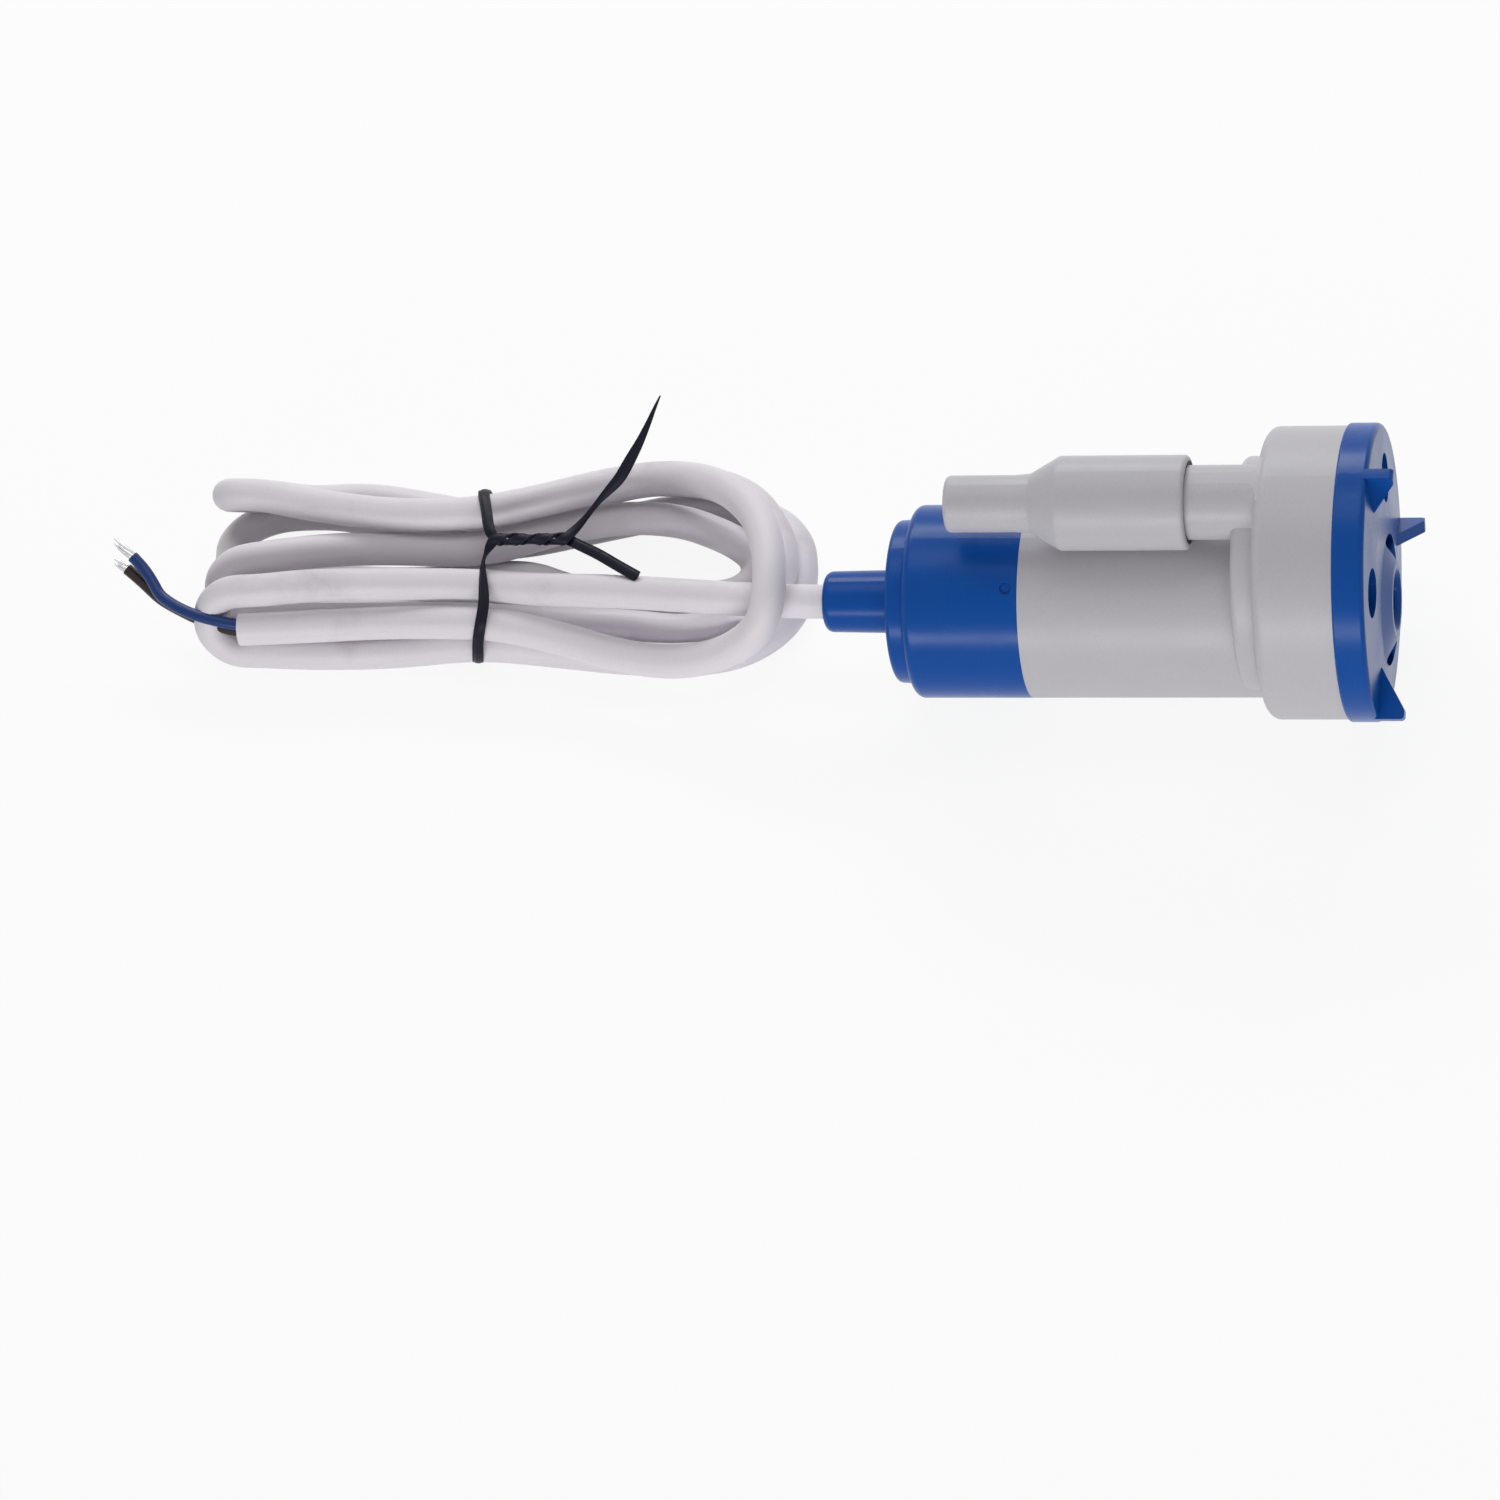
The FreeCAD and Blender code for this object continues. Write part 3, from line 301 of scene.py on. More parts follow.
def mouldedPlastic(name, look):
    material, tree, shader, position = startMaterial(name, **look.get("shader", {}))
    tone = useGroup(tree, "tone", {"Vector": position, "Colour": tint(look["colour"]),
                                   "Patch Scale": look["patchScale"], "Patch Depth": look["patchDepth"],
                                   "Speck Scale": look["speckScale"], "Speck Depth": look["speckDepth"]})
    skin = useGroup(tree, "skin", {"Vector": position, "Grain Scale": look["grainScale"],
                                   "Grain Depth": look["grainDepth"], "Wave Scale": look["waveScale"],
                                   "Wave Depth": look["waveDepth"], "Rough Low": look["rough"][0],
                                   "Rough High": look["rough"][1]})
    smudge = useGroup(tree, "smudges", {"Vector": position, "Scale": look["smudgeScale"],
                                        "Amount": look["smudgeAmount"]})["Mask"]
    scratch = useGroup(tree, "scratches", {"Vector": position, "Scale": look["scratchScale"],
                                           "Amount": look["scratchAmount"]})["Mask"]
    soiled = mixColour(tree, smudge, tone["Colour"], tint(look["smudgeColour"]))
    marked = mixColour(tree, scratch, soiled, tint(look["scratchColour"]))
    tree.links.new(marked, shader["Base Color"])
    dulling = arithmetic(tree, "MULTIPLY", smudge, smudgeRough["plastic"])
    tree.links.new(arithmetic(tree, "ADD", skin["Roughness"], dulling), shader["Roughness"])
    tree.links.new(skin["Normal"], shader["Normal"])
    return material


plasticLooks = {
    "grey_plastic": {
        "colour": (193, 191, 196), "patchScale": 55.0, "patchDepth": 0.05, "speckScale": 2600.0,
        "speckDepth": 0.12, "grainScale": 1900.0, "grainDepth": 0.000012, "waveScale": 70.0,
        "waveDepth": 0.00006, "rough": (0.36, 0.46), "smudgeScale": 60.0, "smudgeAmount": 0.10,
        "smudgeColour": (150, 146, 148), "scratchScale": 400.0, "scratchAmount": 0.06,
        "scratchColour": (220, 220, 224), "shader": {"IOR": 1.52, "Specular_IOR_Level": 0.35},
    },
    "blue_plastic": {
        "colour": (0, 76, 160), "patchScale": 70.0, "patchDepth": 0.08, "speckScale": 2400.0,
        "speckDepth": 0.12, "grainScale": 1200.0, "grainDepth": 0.000008, "waveScale": 80.0,
        "waveDepth": 0.00008, "rough": (0.22, 0.30), "smudgeScale": 90.0, "smudgeAmount": 0.05,
        "smudgeColour": (60, 104, 168), "scratchScale": 420.0, "scratchAmount": 0.05,
        "scratchColour": (92, 136, 196), "shader": {"IOR": 1.52, "Specular_IOR_Level": 0.15},
    },
    "white_plastic": {
        "colour": (226, 226, 222), "patchScale": 80.0, "patchDepth": 0.04, "speckScale": 2400.0,
        "speckDepth": 0.05, "grainScale": 1500.0, "grainDepth": 0.00001, "waveScale": 120.0,
        "waveDepth": 0.00004, "rough": (0.34, 0.44), "smudgeScale": 90.0, "smudgeAmount": 0.12,
        "smudgeColour": (178, 172, 160), "scratchScale": 280.0, "scratchAmount": 0.15,
        "scratchColour": (196, 196, 194), "shader": {"IOR": 1.5},
    },
    "black_plastic": {
        "colour": (34, 34, 38), "patchScale": 90.0, "patchDepth": 0.1, "speckScale": 2400.0,
        "speckDepth": 0.1, "grainScale": 1500.0, "grainDepth": 0.00002, "waveScale": 120.0,
        "waveDepth": 0.00004, "rough": (0.42, 0.55), "smudgeScale": 90.0, "smudgeAmount": 0.12,
        "smudgeColour": (70, 68, 66), "scratchScale": 280.0, "scratchAmount": 0.2,
        "scratchColour": (84, 84, 88), "shader": {"IOR": 1.5},
    },
    "black_rubber": {
        "colour": (36, 36, 40), "patchScale": 90.0, "patchDepth": 0.12, "speckScale": 2600.0,
        "speckDepth": 0.12, "grainScale": 2200.0, "grainDepth": 0.00003, "waveScale": 150.0,
        "waveDepth": 0.00005, "rough": (0.55, 0.7), "smudgeScale": 120.0, "smudgeAmount": 0.2,
        "smudgeColour": (86, 84, 82), "scratchScale": 300.0, "scratchAmount": 0.05,
        "scratchColour": (96, 96, 98), "shader": {"IOR": 1.5},
    },
    "cable_jacket": {
        "colour": (232, 227, 233), "patchScale": 38.0, "patchDepth": 0.06, "speckScale": 2400.0,
        "speckDepth": 0.08, "grainScale": 1300.0, "grainDepth": 0.00001, "waveScale": 130.0,
        "waveDepth": 0.00008, "rough": (0.40, 0.52), "smudgeScale": 48.0, "smudgeAmount": 0.30,
        "smudgeColour": (164, 150, 150), "scratchScale": 220.0, "scratchAmount": 0.12,
        "scratchColour": (186, 172, 170), "shader": {"IOR": 1.5, "Specular_IOR_Level": 0.3},
    },
    "core_blue": {
        "colour": (6, 50, 112), "patchScale": 120.0, "patchDepth": 0.1, "speckScale": 2400.0,
        "speckDepth": 0.06, "grainScale": 1500.0, "grainDepth": 0.000008, "waveScale": 260.0,
        "waveDepth": 0.00005, "rough": (0.26, 0.36), "smudgeScale": 200.0, "smudgeAmount": 0.2,
        "smudgeColour": (40, 74, 120), "scratchScale": 300.0, "scratchAmount": 0.2,
        "scratchColour": (60, 96, 150), "shader": {"IOR": 1.5, "Specular_IOR_Level": 0.3},
    },
    "core_brown": {
        "colour": (38, 25, 26), "patchScale": 120.0, "patchDepth": 0.1, "speckScale": 2400.0,
        "speckDepth": 0.06, "grainScale": 1500.0, "grainDepth": 0.000008, "waveScale": 260.0,
        "waveDepth": 0.00005, "rough": (0.28, 0.38), "smudgeScale": 200.0, "smudgeAmount": 0.2,
        "smudgeColour": (64, 50, 48), "scratchScale": 300.0, "scratchAmount": 0.2,
        "scratchColour": (84, 66, 60), "shader": {"IOR": 1.5, "Specular_IOR_Level": 0.3},
    },
    "tie_plastic": {
        "colour": (16, 16, 32), "patchScale": 160.0, "patchDepth": 0.15, "speckScale": 2600.0,
        "speckDepth": 0.08, "grainScale": 1700.0, "grainDepth": 0.00002, "waveScale": 420.0,
        "waveDepth": 0.00012, "rough": (0.34, 0.5), "smudgeScale": 220.0, "smudgeAmount": 0.12,
        "smudgeColour": (40, 40, 62), "scratchScale": 320.0, "scratchAmount": 0.12,
        "scratchColour": (60, 60, 88), "shader": {"IOR": 1.5, "Specular_IOR_Level": 0.15},
    },
    "carbon": {
        "colour": (46, 46, 50), "patchScale": 200.0, "patchDepth": 0.2, "speckScale": 3000.0,
        "speckDepth": 0.3, "grainScale": 2600.0, "grainDepth": 0.00003, "waveScale": 300.0,
        "waveDepth": 0.00003, "rough": (0.5, 0.65), "smudgeScale": 200.0, "smudgeAmount": 0.2,
        "smudgeColour": (84, 82, 82), "scratchScale": 420.0, "scratchAmount": 0.4,
        "scratchColour": (120, 116, 112), "shader": {"IOR": 1.6},
    },
    "magnet": {
        "colour": (58, 58, 62), "patchScale": 160.0, "patchDepth": 0.15, "speckScale": 2600.0,
        "speckDepth": 0.25, "grainScale": 2200.0, "grainDepth": 0.00003, "waveScale": 220.0,
        "waveDepth": 0.00004, "rough": (0.48, 0.6), "smudgeScale": 160.0, "smudgeAmount": 0.2,
        "smudgeColour": (92, 90, 88), "scratchScale": 320.0, "scratchAmount": 0.3,
        "scratchColour": (130, 128, 128), "shader": {"IOR": 1.9},
    },
}


metalWear = {"speckScale": 3000.0, "speckDepth": 0.08, "stainScale": 160.0}


def turnedMetal(name, look):
    material, tree, shader, position = startMaterial(name, centre=atPump((0, 0, 0)), Metallic=1.0)
    tone = useGroup(tree, "tone", {"Vector": position, "Colour": tint(look["colour"]),
                                   "Patch Scale": look["patchScale"], "Patch Depth": look["patchDepth"],
                                   "Speck Scale": metalWear["speckScale"],
                                   "Speck Depth": metalWear["speckDepth"]})
    marks = useGroup(tree, "turned", {"Vector": position, "Scale": look["markScale"],
                                      "Depth": look["markDepth"]})
    smudge = useGroup(tree, "smudges", {"Vector": position, "Scale": metalWear["stainScale"],
                                        "Amount": look["stain"]})["Mask"]
    stained = mixColour(tree, smudge, tone["Colour"], tint(look["stainColour"]))
    tree.links.new(stained, shader["Base Color"])
    rough = remap(tree, marks["Mask"], *noiseMiddle, *look["rough"])
    dulling = arithmetic(tree, "MULTIPLY", smudge, smudgeRough["metal"])
    tree.links.new(arithmetic(tree, "ADD", rough, dulling), shader["Roughness"])
    tree.links.new(marks["Normal"], shader["Normal"])
    return material


metalLooks = {
    "bright_steel": {"colour": (196, 196, 198), "patchScale": 90.0, "patchDepth": 0.06,
                     "markScale": 2600.0, "markDepth": 0.000006, "rough": (0.18, 0.3), "stain": 0.1,
                     "stainColour": (120, 112, 100)},
    "dark_steel": {"colour": (74, 74, 80), "patchScale": 90.0, "patchDepth": 0.15,
                   "markScale": 2200.0, "markDepth": 0.00001, "rough": (0.3, 0.45), "stain": 0.3,
                   "stainColour": (90, 70, 54)},
    "core_steel": {"colour": (112, 112, 116), "patchScale": 120.0, "patchDepth": 0.12,
                   "markScale": 3400.0, "markDepth": 0.00003, "rough": (0.4, 0.55), "stain": 0.25,
                   "stainColour": (110, 90, 70)},
    "bronze": {"colour": (176, 138, 84), "patchScale": 120.0, "patchDepth": 0.12,
               "markScale": 2400.0, "markDepth": 0.00001, "rough": (0.3, 0.42), "stain": 0.3,
               "stainColour": (96, 76, 52)},
    "brass": {"colour": (206, 178, 104), "patchScale": 120.0, "patchDepth": 0.1,
              "markScale": 2400.0, "markDepth": 0.000008, "rough": (0.22, 0.34), "stain": 0.2,
              "stainColour": (128, 100, 58)},
    "tinned_copper": {"colour": (206, 206, 210), "patchScale": 300.0, "patchDepth": 0.15,
                      "markScale": 3000.0, "markDepth": 0.00001, "rough": (0.22, 0.36), "stain": 0.3,
                      "stainColour": (150, 128, 108)},
}


# the copper's gap colour is painted shade: a dark brown laid into the valleys between the wire turns
copperLook = {"colour": (196, 118, 72), "patchScale": 140.0, "patchDepth": 0.15, "speckScale": 2600.0,
              "speckDepth": 0.1, "varnish": 0.6, "varnishRough": 0.2, "wire": 0.0004, "depth": 0.00012,
              "gapShadeColour": (70, 34, 20), "gapEdge": 0.5, "gapShade": 0.75, "rough": (0.5, 0.28)}


def woundCopper(name, look):
    material, tree, shader, position = startMaterial(name, Metallic=1.0, Coat_Weight=look["varnish"],
                                                     Coat_Roughness=look["varnishRough"])
    tone = useGroup(tree, "tone", {"Vector": position, "Colour": tint(look["colour"]),
                                   "Patch Scale": look["patchScale"], "Patch Depth": look["patchDepth"],
                                   "Speck Scale": look["speckScale"], "Speck Depth": look["speckDepth"]})
    wires = useGroup(tree, "wound", {"Vector": position, "Wire": look["wire"], "Depth": look["depth"]})
    # painted shade: the valleys between the wire turns are darkened towards the gap colour, most where the
    # ridge is lowest
    gaps = remap(tree, wires["Mask"], 0.0, look["gapEdge"], look["gapShade"], 0.0)
    tree.links.new(mixColour(tree, gaps, tone["Colour"], tint(look["gapShadeColour"])), shader["Base Color"])
    tree.links.new(remap(tree, wires["Mask"], 0.0, 1.0, *look["rough"]), shader["Roughness"])
    tree.links.new(wires["Normal"], shader["Normal"])
    return material


finishes = {name: mouldedPlastic(name, look) for name, look in plasticLooks.items()}
finishes.update({name: turnedMetal(name, look) for name, look in metalLooks.items()})
finishes["copper"] = woundCopper("copper", copperLook)

for node in frame["nodes"].values():
    for place in node.material_slots:
        place.material = finishes[place.material.name.split(".")[0]]
print("finishes made")

# Cable, cores and tie: routes in the pump's millimetres, as the photograph shows them, and sizes in metres

cable = {
    "diameter": 0.0062,
    "drawn": 0.0065,  # as wide as the hank's strands look in the photograph
    "length": 1.14,
    "route": [
        # the lead, and the fold at the far left under it
        (-17.7, 0, 0), (-27, 0.4, -0.29), (-43.9, 2.6, -1.33), (-60.3, 5.1, -2.64), (-75.5, 7.3, -4.78),
        (-89.5, 9.6, -5.95), (-108.4, 9, -5), (-122.3, 8.6, -4.7), (-131.9, 7.5, -4.9), (-139, 7.6, -5.3),
        (-142.7, 6.1, -8.68), (-142.7, 3.9, -13.47), (-139, 2.4, -16.85), (-133.5, 2.2, -16.85),
        # first long turn, flat on the floor
        (-122.5, 1.6, -16.85), (-106.5, 1.8, -16.85), (-89.5, 2.5, -14.95), (-74.5, 2.2, -16.85),
        (-60.5, 0.2, -16.85), (-46.5, -0.4, -16.85), (-36.5, 1.9, -16.85), (-28.9, 9.4, -16.85),
        (-27.7, 20.3, -16.85), (-30.2, 30.7, -16.85), (-38, 36.8, -16.85), (-50.5, 38.9, -16.85),
        (-66.5, 34.9, -16.85), (-89.5, 26.8, -15.15), (-106.5, 32.4, -16.85), (-120.6, 37.3, -16.85),
        (-132.7, 37.6, -16.85), (-138.5, 36.1, -16.85), (-142.7, 33, -16.85), (-144.3, 28.1, -16.85),
        (-142.7, 23.2, -16.85), (-138.5, 20.1, -16.85), (-132.5, 19.9, -16.85),
        # second turn, inside the first
        (-120.5, 20, -16.85), (-106.5, 18.8, -16.6), (-90.5, 19.4, -15.4), (-81.6, 19.8, -15.5),
        (-74, 17.1, -16.5), (-66, 15.5, -16.85), (-58.2, 15.3, -16.85), (-50.4, 15.1, -16.85),
        (-44.4, 15.3, -16.85), (-40.2, 16.4, -16.85), (-37.5, 18.6, -16.6), (-36.6, 21.3, -15.9),
        (-37.4, 23.9, -15.1), (-39.9, 25.8, -13.9), (-44.1, 27.6, -12.5), (-52.4, 30.2, -11),
        (-63.6, 30.4, -10.2), (-76.8, 27.7, -10.15), (-89.4, 21, -9.35), (-106.8, 21.5, -8.75),
        (-120.8, 20.2, -7.55), (-132, 17.9, -6.8),
        # third turn, which climbs onto the others
        (-138.9, 16.6, -6.9), (-142.3, 14.8, -9.81), (-142.3, 12.2, -13.94),
        (-138.9, 10.4, -16.85), (-132.4, 10.2, -16.85), (-120.5, 10.4, -16.85), (-106.5, 10.4, -16.85),
        (-89.5, 9.2, -15.15), (-74.5, 9.2, -16.85), (-60.5, 8.4, -16.85), (-50.5, 6.9, -16.85),
        (-44.2, 7.9, -16.85), (-39.4, 10.3, -16), (-34.1, 11.8, -13.8), (-31.2, 14.2, -11.7),
        (-30.4, 18.6, -10.7), (-32.5, 25.8, -10.35), (-37.3, 33.6, -10.35), (-43.5, 37.9, -10.35),
        (-52, 40, -10.35), (-62.5, 40.2, -10.35), (-76.5, 34, -9.95), (-89.5, 29, -9.35),
        (-103.8, 33.1, -10.15), (-115.6, 35.7, -10.35), (-127.6, 34.9, -10.4),
        # last turn, over the lead near the pump and back to the cut end
        (-135, 36.6, -10.5), (-140.8, 36.9, -10.6), (-143.4, 35.2, -8.55), (-143.4, 32.9, -5.65),
        (-140.8, 31.2, -3.6), (-134.8, 31, -3.65), (-125.1, 28.8, -4.1), (-108.5, 25.4, -3.35),
        (-92.5, 25, -2.95), (-80.5, 28.2, -3.35), (-66.5, 33.2, -3.75), (-54.5, 35, -3.25),
        (-43.3, 30.2, 0.1), (-34.2, 20.7, 3.5), (-29.1, 8.8, 6.6), (-27.2, -1.6, 6.9), (-29.1, -7.2, 0.6),
        (-37.4, -7.7, -6.2), (-47.5, -7.4, -9.35), (-59.5, -4.6, -10.35), (-71.5, -0.4, -9.95),
        (-84.5, 2.4, -8.95), (-94.5, 2.8, -8.95), (-108.5, 3.6, -9.95), (-121.5, 2.8, -10.05),
        (-135.9, 2, -9.95),
    ],
}

cores = {
    "diameter": 0.0023,
    "length": 0.0305,
    "blue": [(-134, 2.2, -9.1), (-136.3, 2.2, -8.9), (-138.5, 2.4, -8.5), (-141.4, 2.9, -8.1),
             (-144.6, 3.6, -7.6), (-147.6, 4.7, -7.1), (-150, 5.9, -6.6), (-152.3, 7.4, -6),
             (-153.7, 9.5, -5), (-155.1, 11.3, -4), (-156.6, 12.8, -3), (-158.1, 13.9, -2)],
    "brown": [(-134.6, 2.4, -11.2), (-136.9, 2.7, -11.2), (-139.2, 3.1, -11), (-142.3, 4.1, -10.7),
             (-145.5, 5.1, -10.2), (-148.5, 6.4, -9.6), (-151, 7.6, -9.1), (-153.1, 8.7, -8.5),
             (-155, 10.1, -7.6), (-157.2, 11.7, -6.4), (-159.8, 13.3, -5)],
    "bareLength": {"blue": 0.0062, "brown": 0.0042},
    "strandDiameter": 0.00095,
    "strandPoints": 6,
    "strandRing": 0.0005,  # radius of the ring on which the strands leave the core
    "strandRoot": 0.001,  # how far inside the core they start
    "strandTwist": 2.0,  # radians from root to tip
    "tipSpread": (0.4, 0.4, 2.4, 0.4, 0.4),  # each tip's distance from the middle, in rings: one strays
    "taper": 0.1,  # share of the thickness that each next point loses
}

# One tie from tail to tail. Each point also has the share of the ribbon's width there, and the degrees
# that lay its broad side on the hank, counted on from the first tail's end.
tie = {
    "width": 0.0022,
    "thickness": 0.0005,
    "wire": 0.0009,
    "wireMound": (1.6, 0.9),  # foot and shoulder of the mound over the wire, in half wires from its middle
    "longTail": [(-52.2, 36.7, 18, 0.12, -34), (-53.3, 35.3, 16.4, 0.3, -35),
                 (-54.7, 33, 14.2, 0.5, -35), (-56.4, 30.4, 11.8, 0.75, -34), (-58.4, 27.8, 9.5, 1, -34),
                 (-60.4, 25.1, 7.2, 1.05, -33), (-62.9, 23.7, 5.2, 0.8, -30),
                 (-64.9, 22.2, 3.8, 0.5, -31), (-66.6, 20.3, 2.6, 0.45, -31),
                 (-68.6, 17.8, 1.6, 0.7, -32)],
    "loop": [(-86.6, 18.2, 0.6, 1, -495), (-87.7, 22.6, 1, 1, -499), (-89.2, 27.4, 0.7, 1, -493),
             (-90, 30.6, -2.2, 1, -491), (-90.6, 33.3, -7.6, 1, -491), (-90.6, 33.4, -12.9, 1, -491),
             (-90.8, 31.2, -17.6, 1, -490), (-90.3, 25.4, -18.9, 1, -490), (-89.6, 15.4, -18.9, 1, -490),
             (-89.6, 6.4, -18.9, 1, -490), (-89.7, 0.6, -18.5, 1, -490), (-88.6, -1.5, -14.9, 1, -503),
             (-87.6, -1.5, -9.7, 1, -504), (-86.4, -0.7, -5.6, 1, -515), (-85.8, 3.2, -3.4, 1, -513),
             (-86.5, 7.6, -1.9, 0.9, -545), (-87.2, 11.8, -1.2, 0.75, -569)],
    "shortTail": [(-67.6, 13.3, 1.3, 0.95, -1193), (-63.5, 10.9, 1.5, 1, -1196),
                  (-59.5, 8.1, 1.5, 1, -1196), (-55.1, 5.4, 1.3, 1, -1196)],
    "neck": ((-85.4, 15.8, 0.3), (-70.4, 15.1, 1.1)),
    "neckTurns": 1.6,
    "neckRadius": 0.00067,
    "neckUneven": (0.18, 7.3),  # how much the winding's radius varies, and how fast along the neck
    "neckWidth": 0.95,
    "neckPoints": 14,
    "neckStrands": ((205, -12, -41.4), (25, -660, -41.5)),  # start angle, first tilt and tilt per point
}


def nurbsCurve(name, routes, thickness, ringResolution=5, runResolution=12):
    data = bpy.data.curves.new(name, "CURVE")
    data.dimensions = "3D"
    data.resolution_u = runResolution
    data.bevel_depth = thickness / 2
    data.bevel_resolution = ringResolution
    data.use_fill_caps = True
    for route in routes:
        spline = data.splines.new("NURBS")
        spline.points.add(len(route) - 1)
        for point, place in zip(spline.points, route):
            point.co = (*place, 1)
        spline.order_u = 3
        spline.use_endpoint_u = True
    piece = bpy.data.objects.new(name, data)
    bpy.context.scene.collection.objects.link(piece)
    return piece


def finishPiece(piece, finish):
    piece.data.materials.clear()
    piece.data.materials.append(finishes[finish])
    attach(piece, "pump")


def meshFromCurve(curve):
    bpy.context.view_layer.update()
    mesh = bpy.data.meshes.new_from_object(curve.evaluated_get(bpy.context.evaluated_depsgraph_get()))
    name = curve.name
    bpy.data.objects.remove(curve)
    mesh.name = name
    piece = bpy.data.objects.new(name, mesh)
    bpy.context.scene.collection.objects.link(piece)
    return piece


def ribbonProfile():
    data = bpy.data.curves.new("ribbonProfile", "CURVE")
    data.dimensions = "2D"
    data.resolution_u = 6
    half, flat, bulge = tie["width"] / 2, tie["thickness"] / 2, tie["wire"] / 2
    foot, shoulder = [bulge * share for share in tie["wireMound"]]
    outline = [(half, 0), (half, flat), (foot, flat), (shoulder, bulge), (-shoulder, bulge), (-foot, flat),
               (-half, flat), (-half, -flat), (-foot, -flat), (-shoulder, -bulge), (shoulder, -bulge),
               (foot, -flat), (half, -flat)]
    spline = data.splines.new("NURBS")
    spline.points.add(len(outline) - 1)
    for point, place in zip(spline.points, outline):
        point.co = (*place, 0, 1)
    spline.order_u = 3
    spline.use_cyclic_u = True
    profile = bpy.data.objects.new("ribbonProfile", data)
    bpy.context.scene.collection.objects.link(profile)
    return profile


def ribbon(name, route, profile, widths, tilts):
    piece = nurbsCurve(name, [route], 0.0, runResolution=10)
    piece.data.bevel_mode = "OBJECT"
    piece.data.bevel_object = profile
    piece.data.twist_mode = "MINIMUM"
    for point, width, tilt in zip(piece.data.splines[0].points, widths, tilts):
        point.radius = width
        point.tilt = math.radians(tilt)
    return meshFromCurve(piece)


cablePiece = nurbsCurve("cable", [[atPump(p) for p in cable["route"]]], cable["drawn"], ringResolution=6)
finishPiece(cablePiece, "cable_jacket")
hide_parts("cable_lead", "cable_hank")

corePieces = {}
for colour in ("blue", "brown"):
    route = [atPump(p) for p in cores[colour]]
    corePieces[colour] = nurbsCurve(colour + "Core", [route], cores["diameter"])
    finishPiece(corePieces[colour], "core_" + colour)
    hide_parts("core_" + colour + "_end")


# Two directions at right angles to a run, the second one upwards
def crossAxes(run):
    side = run.cross(Vector((0, 0, 1))).normalized()
    return side, side.cross(run)


def bareStrands(route, reach):
    tip, run = route[-1], (route[-1] - route[-2]).normalized()
    side, rise = crossAxes(run)
    made = []
    for number, spread in enumerate(cores["tipSpread"]):
        turn = math.tau * number / len(cores["tipSpread"])
        length = reach * (0.85 + 0.15 * math.sin(number * 4.1 + 1))  # no two are cut to one length
        line = []
        for step in range(cores["strandPoints"]):
            part = step / (cores["strandPoints"] - 1)
            around = turn + cores["strandTwist"] * part
            out = cores["strandRing"] * (1 + (spread - 1) * part * part)
            line.append(tip + run * (length * part - cores["strandRoot"])
                        + (side * math.cos(around) + rise * math.sin(around)) * out)
        made.append(line)
    return made


tinned = {}
for colour in ("blue", "brown"):
    lines = bareStrands([atPump(p) for p in cores[colour]], cores["bareLength"][colour])
    tinned[colour] = nurbsCurve(colour + "Strands", lines, cores["strandDiameter"], ringResolution=2,
                                runResolution=4)
    for spline in tinned[colour].data.splines:
        for step, point in enumerate(spline.points):
            point.radius = 1 - cores["taper"] * step
    finishPiece(tinned[colour], "tinned_copper")
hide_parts("tinned_ends")
print("cable and cores laid")


# One strand of the twisted neck, from the loop to the tails, or from the tails where it runs inwards
def neckStrand(startAngle, firstTilt, tiltStep, inwards):
    start, end = [atPump(p) for p in tie["neck"]]
    side, rise = crossAxes((end - start).normalized())
    phase = math.radians(startAngle)
    swing, speed = tie["neckUneven"]
    places = []
    for step in range(tie["neckPoints"]):
        part = step / (tie["neckPoints"] - 1)
        turn = phase + part * tie["neckTurns"] * math.tau
        out = tie["neckRadius"] * (1 + swing * math.sin(speed * part + 2 * phase))
        places.append(start.lerp(end, part) + (side * math.cos(turn) + rise * math.sin(turn)) * out)
    if inwards:
        places.reverse()
    return [(place, tie["neckWidth"], firstTilt + tiltStep * step) for step, place in enumerate(places)]


def tiePoints():
    laid = {}
    for name in ("longTail", "loop", "shortTail"):
        laid[name] = [(atPump(point[:3]), *point[3:]) for point in tie[name]]
    first, second = tie["neckStrands"]
    return (laid["longTail"] + neckStrand(*first, inwards=True) + laid["loop"]
            + neckStrand(*second, inwards=False) + laid["shortTail"])


tieProfile = ribbonProfile()
tieRoute, tieWidths, tieTilts = [list(column) for column in zip(*tiePoints())]
tiePiece = ribbon("tie", tieRoute, tieProfile, tieWidths, tieTilts)
bpy.data.objects.remove(tieProfile)
finishPiece(tiePiece, "tie_plastic")
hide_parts("twist_tie")
print("tie wound")

# Floor, lights and surroundings

stageSetup = {
    "floorSize": 3.0,
    "floorColour": (248, 248, 249),
    "floorWhite": 0.9,  # how much of the camera's view of the floor is plain white
    "surround": 0.2,  # strength of the light from all round
    "aim": (-0.05, 0.0, 0.02),
    "lamps": [
        # place, width, height, watts
        ((-0.05, 0.2, 0.9), 0.8, 0.4, 1.6),
        ((-0.15, 0.78, 0.6), 0.9, 0.3, 5.4),
        ((-0.05, -0.85, 0.09), 0.9, 0.14, 4.0),
    ],
}


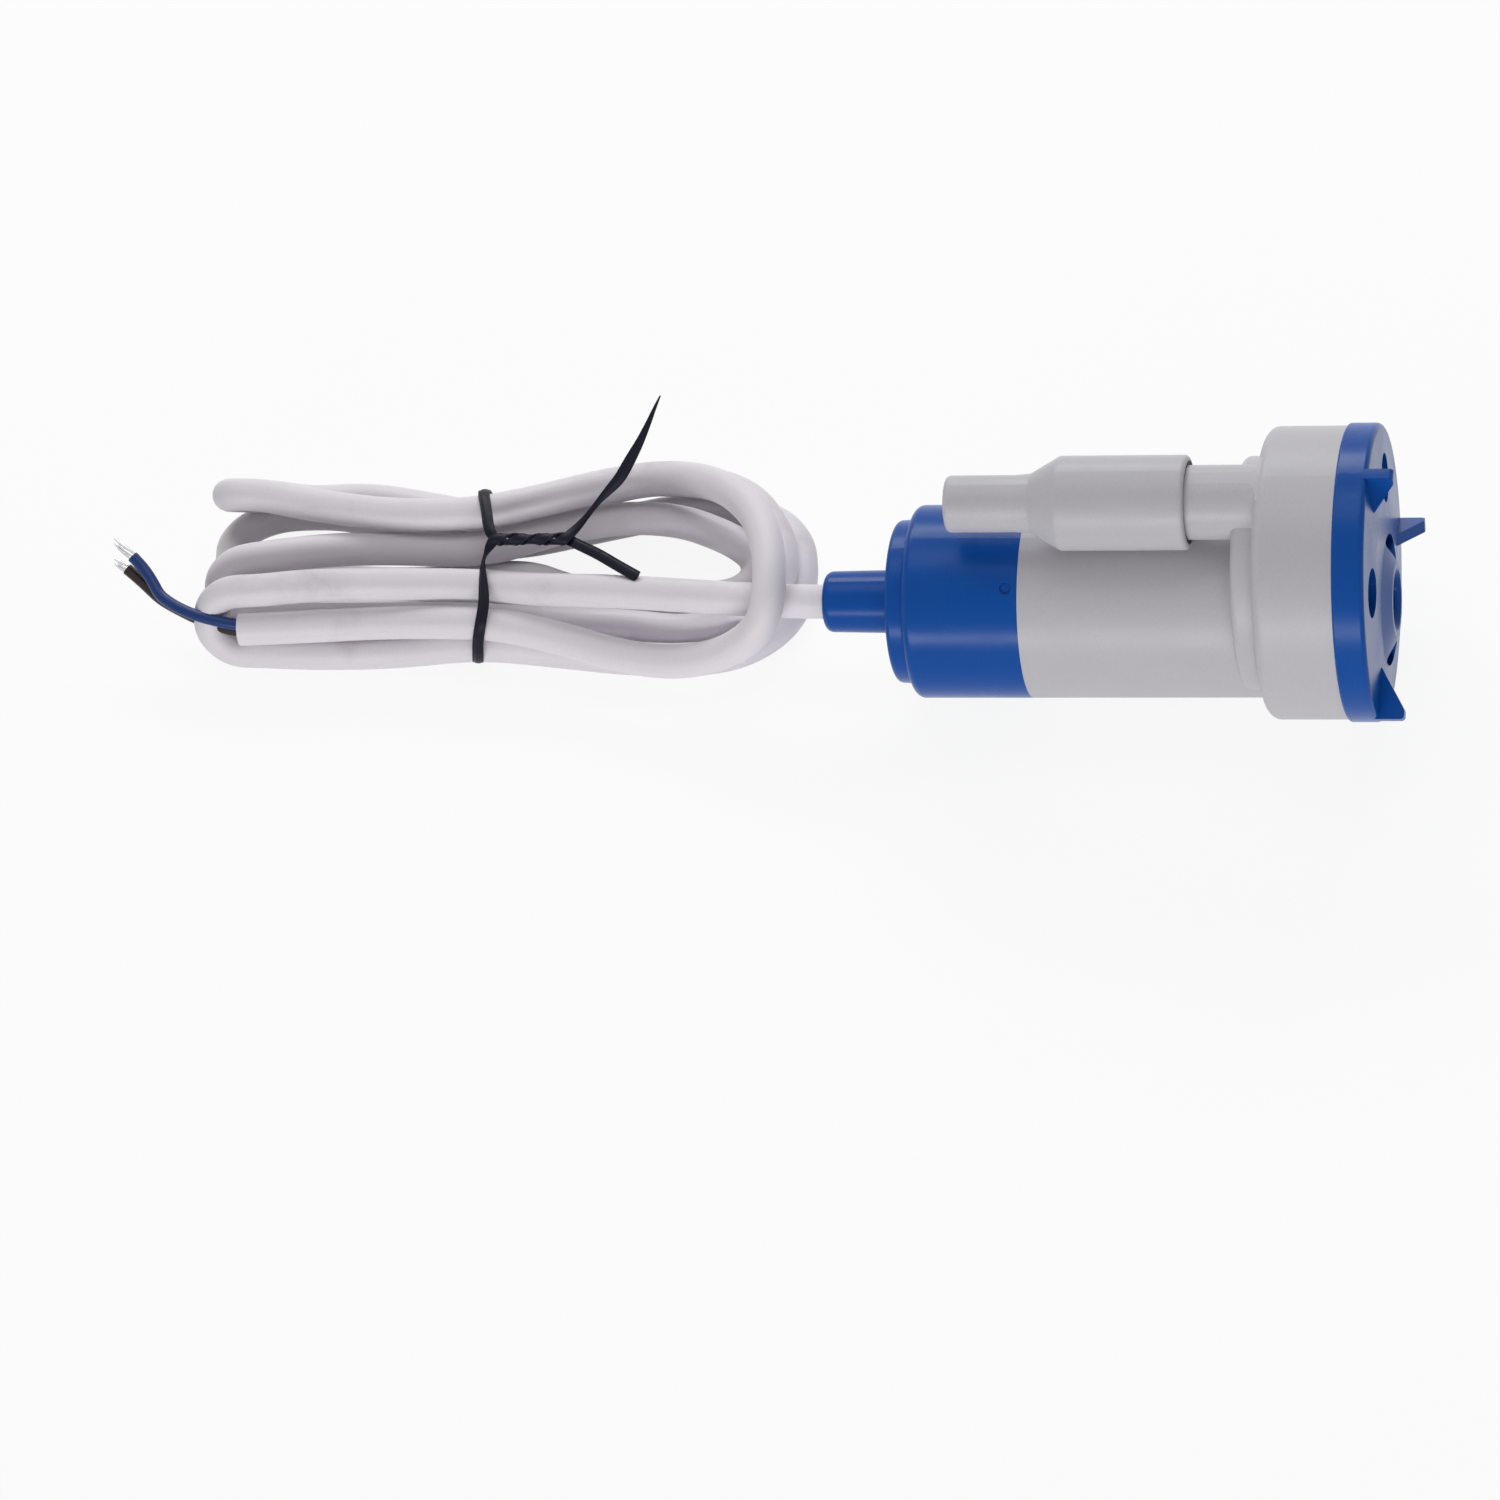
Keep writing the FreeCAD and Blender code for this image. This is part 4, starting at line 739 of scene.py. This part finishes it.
# 1 where the camera sees a surface, straight, mirrored or through something clear, and 0 for its light
def seenDirectly(tree):
    path = addNode(tree, "LightPath").outputs
    straight = arithmetic(tree, "MAXIMUM", path["Is Camera Ray"], path["Is Glossy Ray"])
    return arithmetic(tree, "MAXIMUM", straight, path["Is Transmission Ray"])


def addFloor():
    bm = bmesh.new()
    bmesh.ops.create_grid(bm, x_segments=1, y_segments=1, size=stageSetup["floorSize"] / 2)
    mesh = bpy.data.meshes.new("floor")
    bm.to_mesh(mesh)
    bm.free()
    floor = bpy.data.objects.new("floor", mesh)
    bpy.context.scene.collection.objects.link(floor)
    material = bpy.data.materials.new("floorPaper")
    material.use_nodes = True
    tree = material.node_tree
    tree.nodes.clear()
    paper = addNode(tree, "BsdfDiffuse", {"Color": tint(stageSetup["floorColour"])})
    white = addNode(tree, "Emission", {"Color": (1, 1, 1, 1), "Strength": 1.0})
    share = arithmetic(tree, "MULTIPLY", seenDirectly(tree), stageSetup["floorWhite"])
    mixed = addNode(tree, "MixShader", {0: share, 1: paper.outputs[0], 2: white.outputs[0]})
    addNode(tree, "OutputMaterial", {"Surface": mixed.outputs[0]})
    mesh.materials.append(material)


def addWorld():
    world = bpy.data.worlds.new("surround")
    bpy.context.scene.world = world
    world.use_nodes = True
    tree = world.node_tree
    tree.nodes.clear()
    strength = remap(tree, seenDirectly(tree), 0.0, 1.0, stageSetup["surround"], 1.0)
    light = addNode(tree, "Background", {"Color": (1, 1, 1, 1), "Strength": strength})
    addNode(tree, "OutputWorld", {"Surface": light.outputs[0]})


def addLamps():
    for number, (place, width, height, watts) in enumerate(stageSetup["lamps"]):
        data = bpy.data.lights.new(f"softLamp{number}", "AREA")
        data.shape = "RECTANGLE"
        data.size = width
        data.size_y = height
        data.energy = watts
        lamp = bpy.data.objects.new(f"softLamp{number}", data)
        bpy.context.scene.collection.objects.link(lamp)
        lamp.location = place
        beam = Vector(stageSetup["aim"]) - Vector(place)
        lamp.rotation_euler = beam.to_track_quat("-Z", "Y").to_euler()


addFloor()
addWorld()
addLamps()
print("stage lit")

bpy.context.view_layer.update()
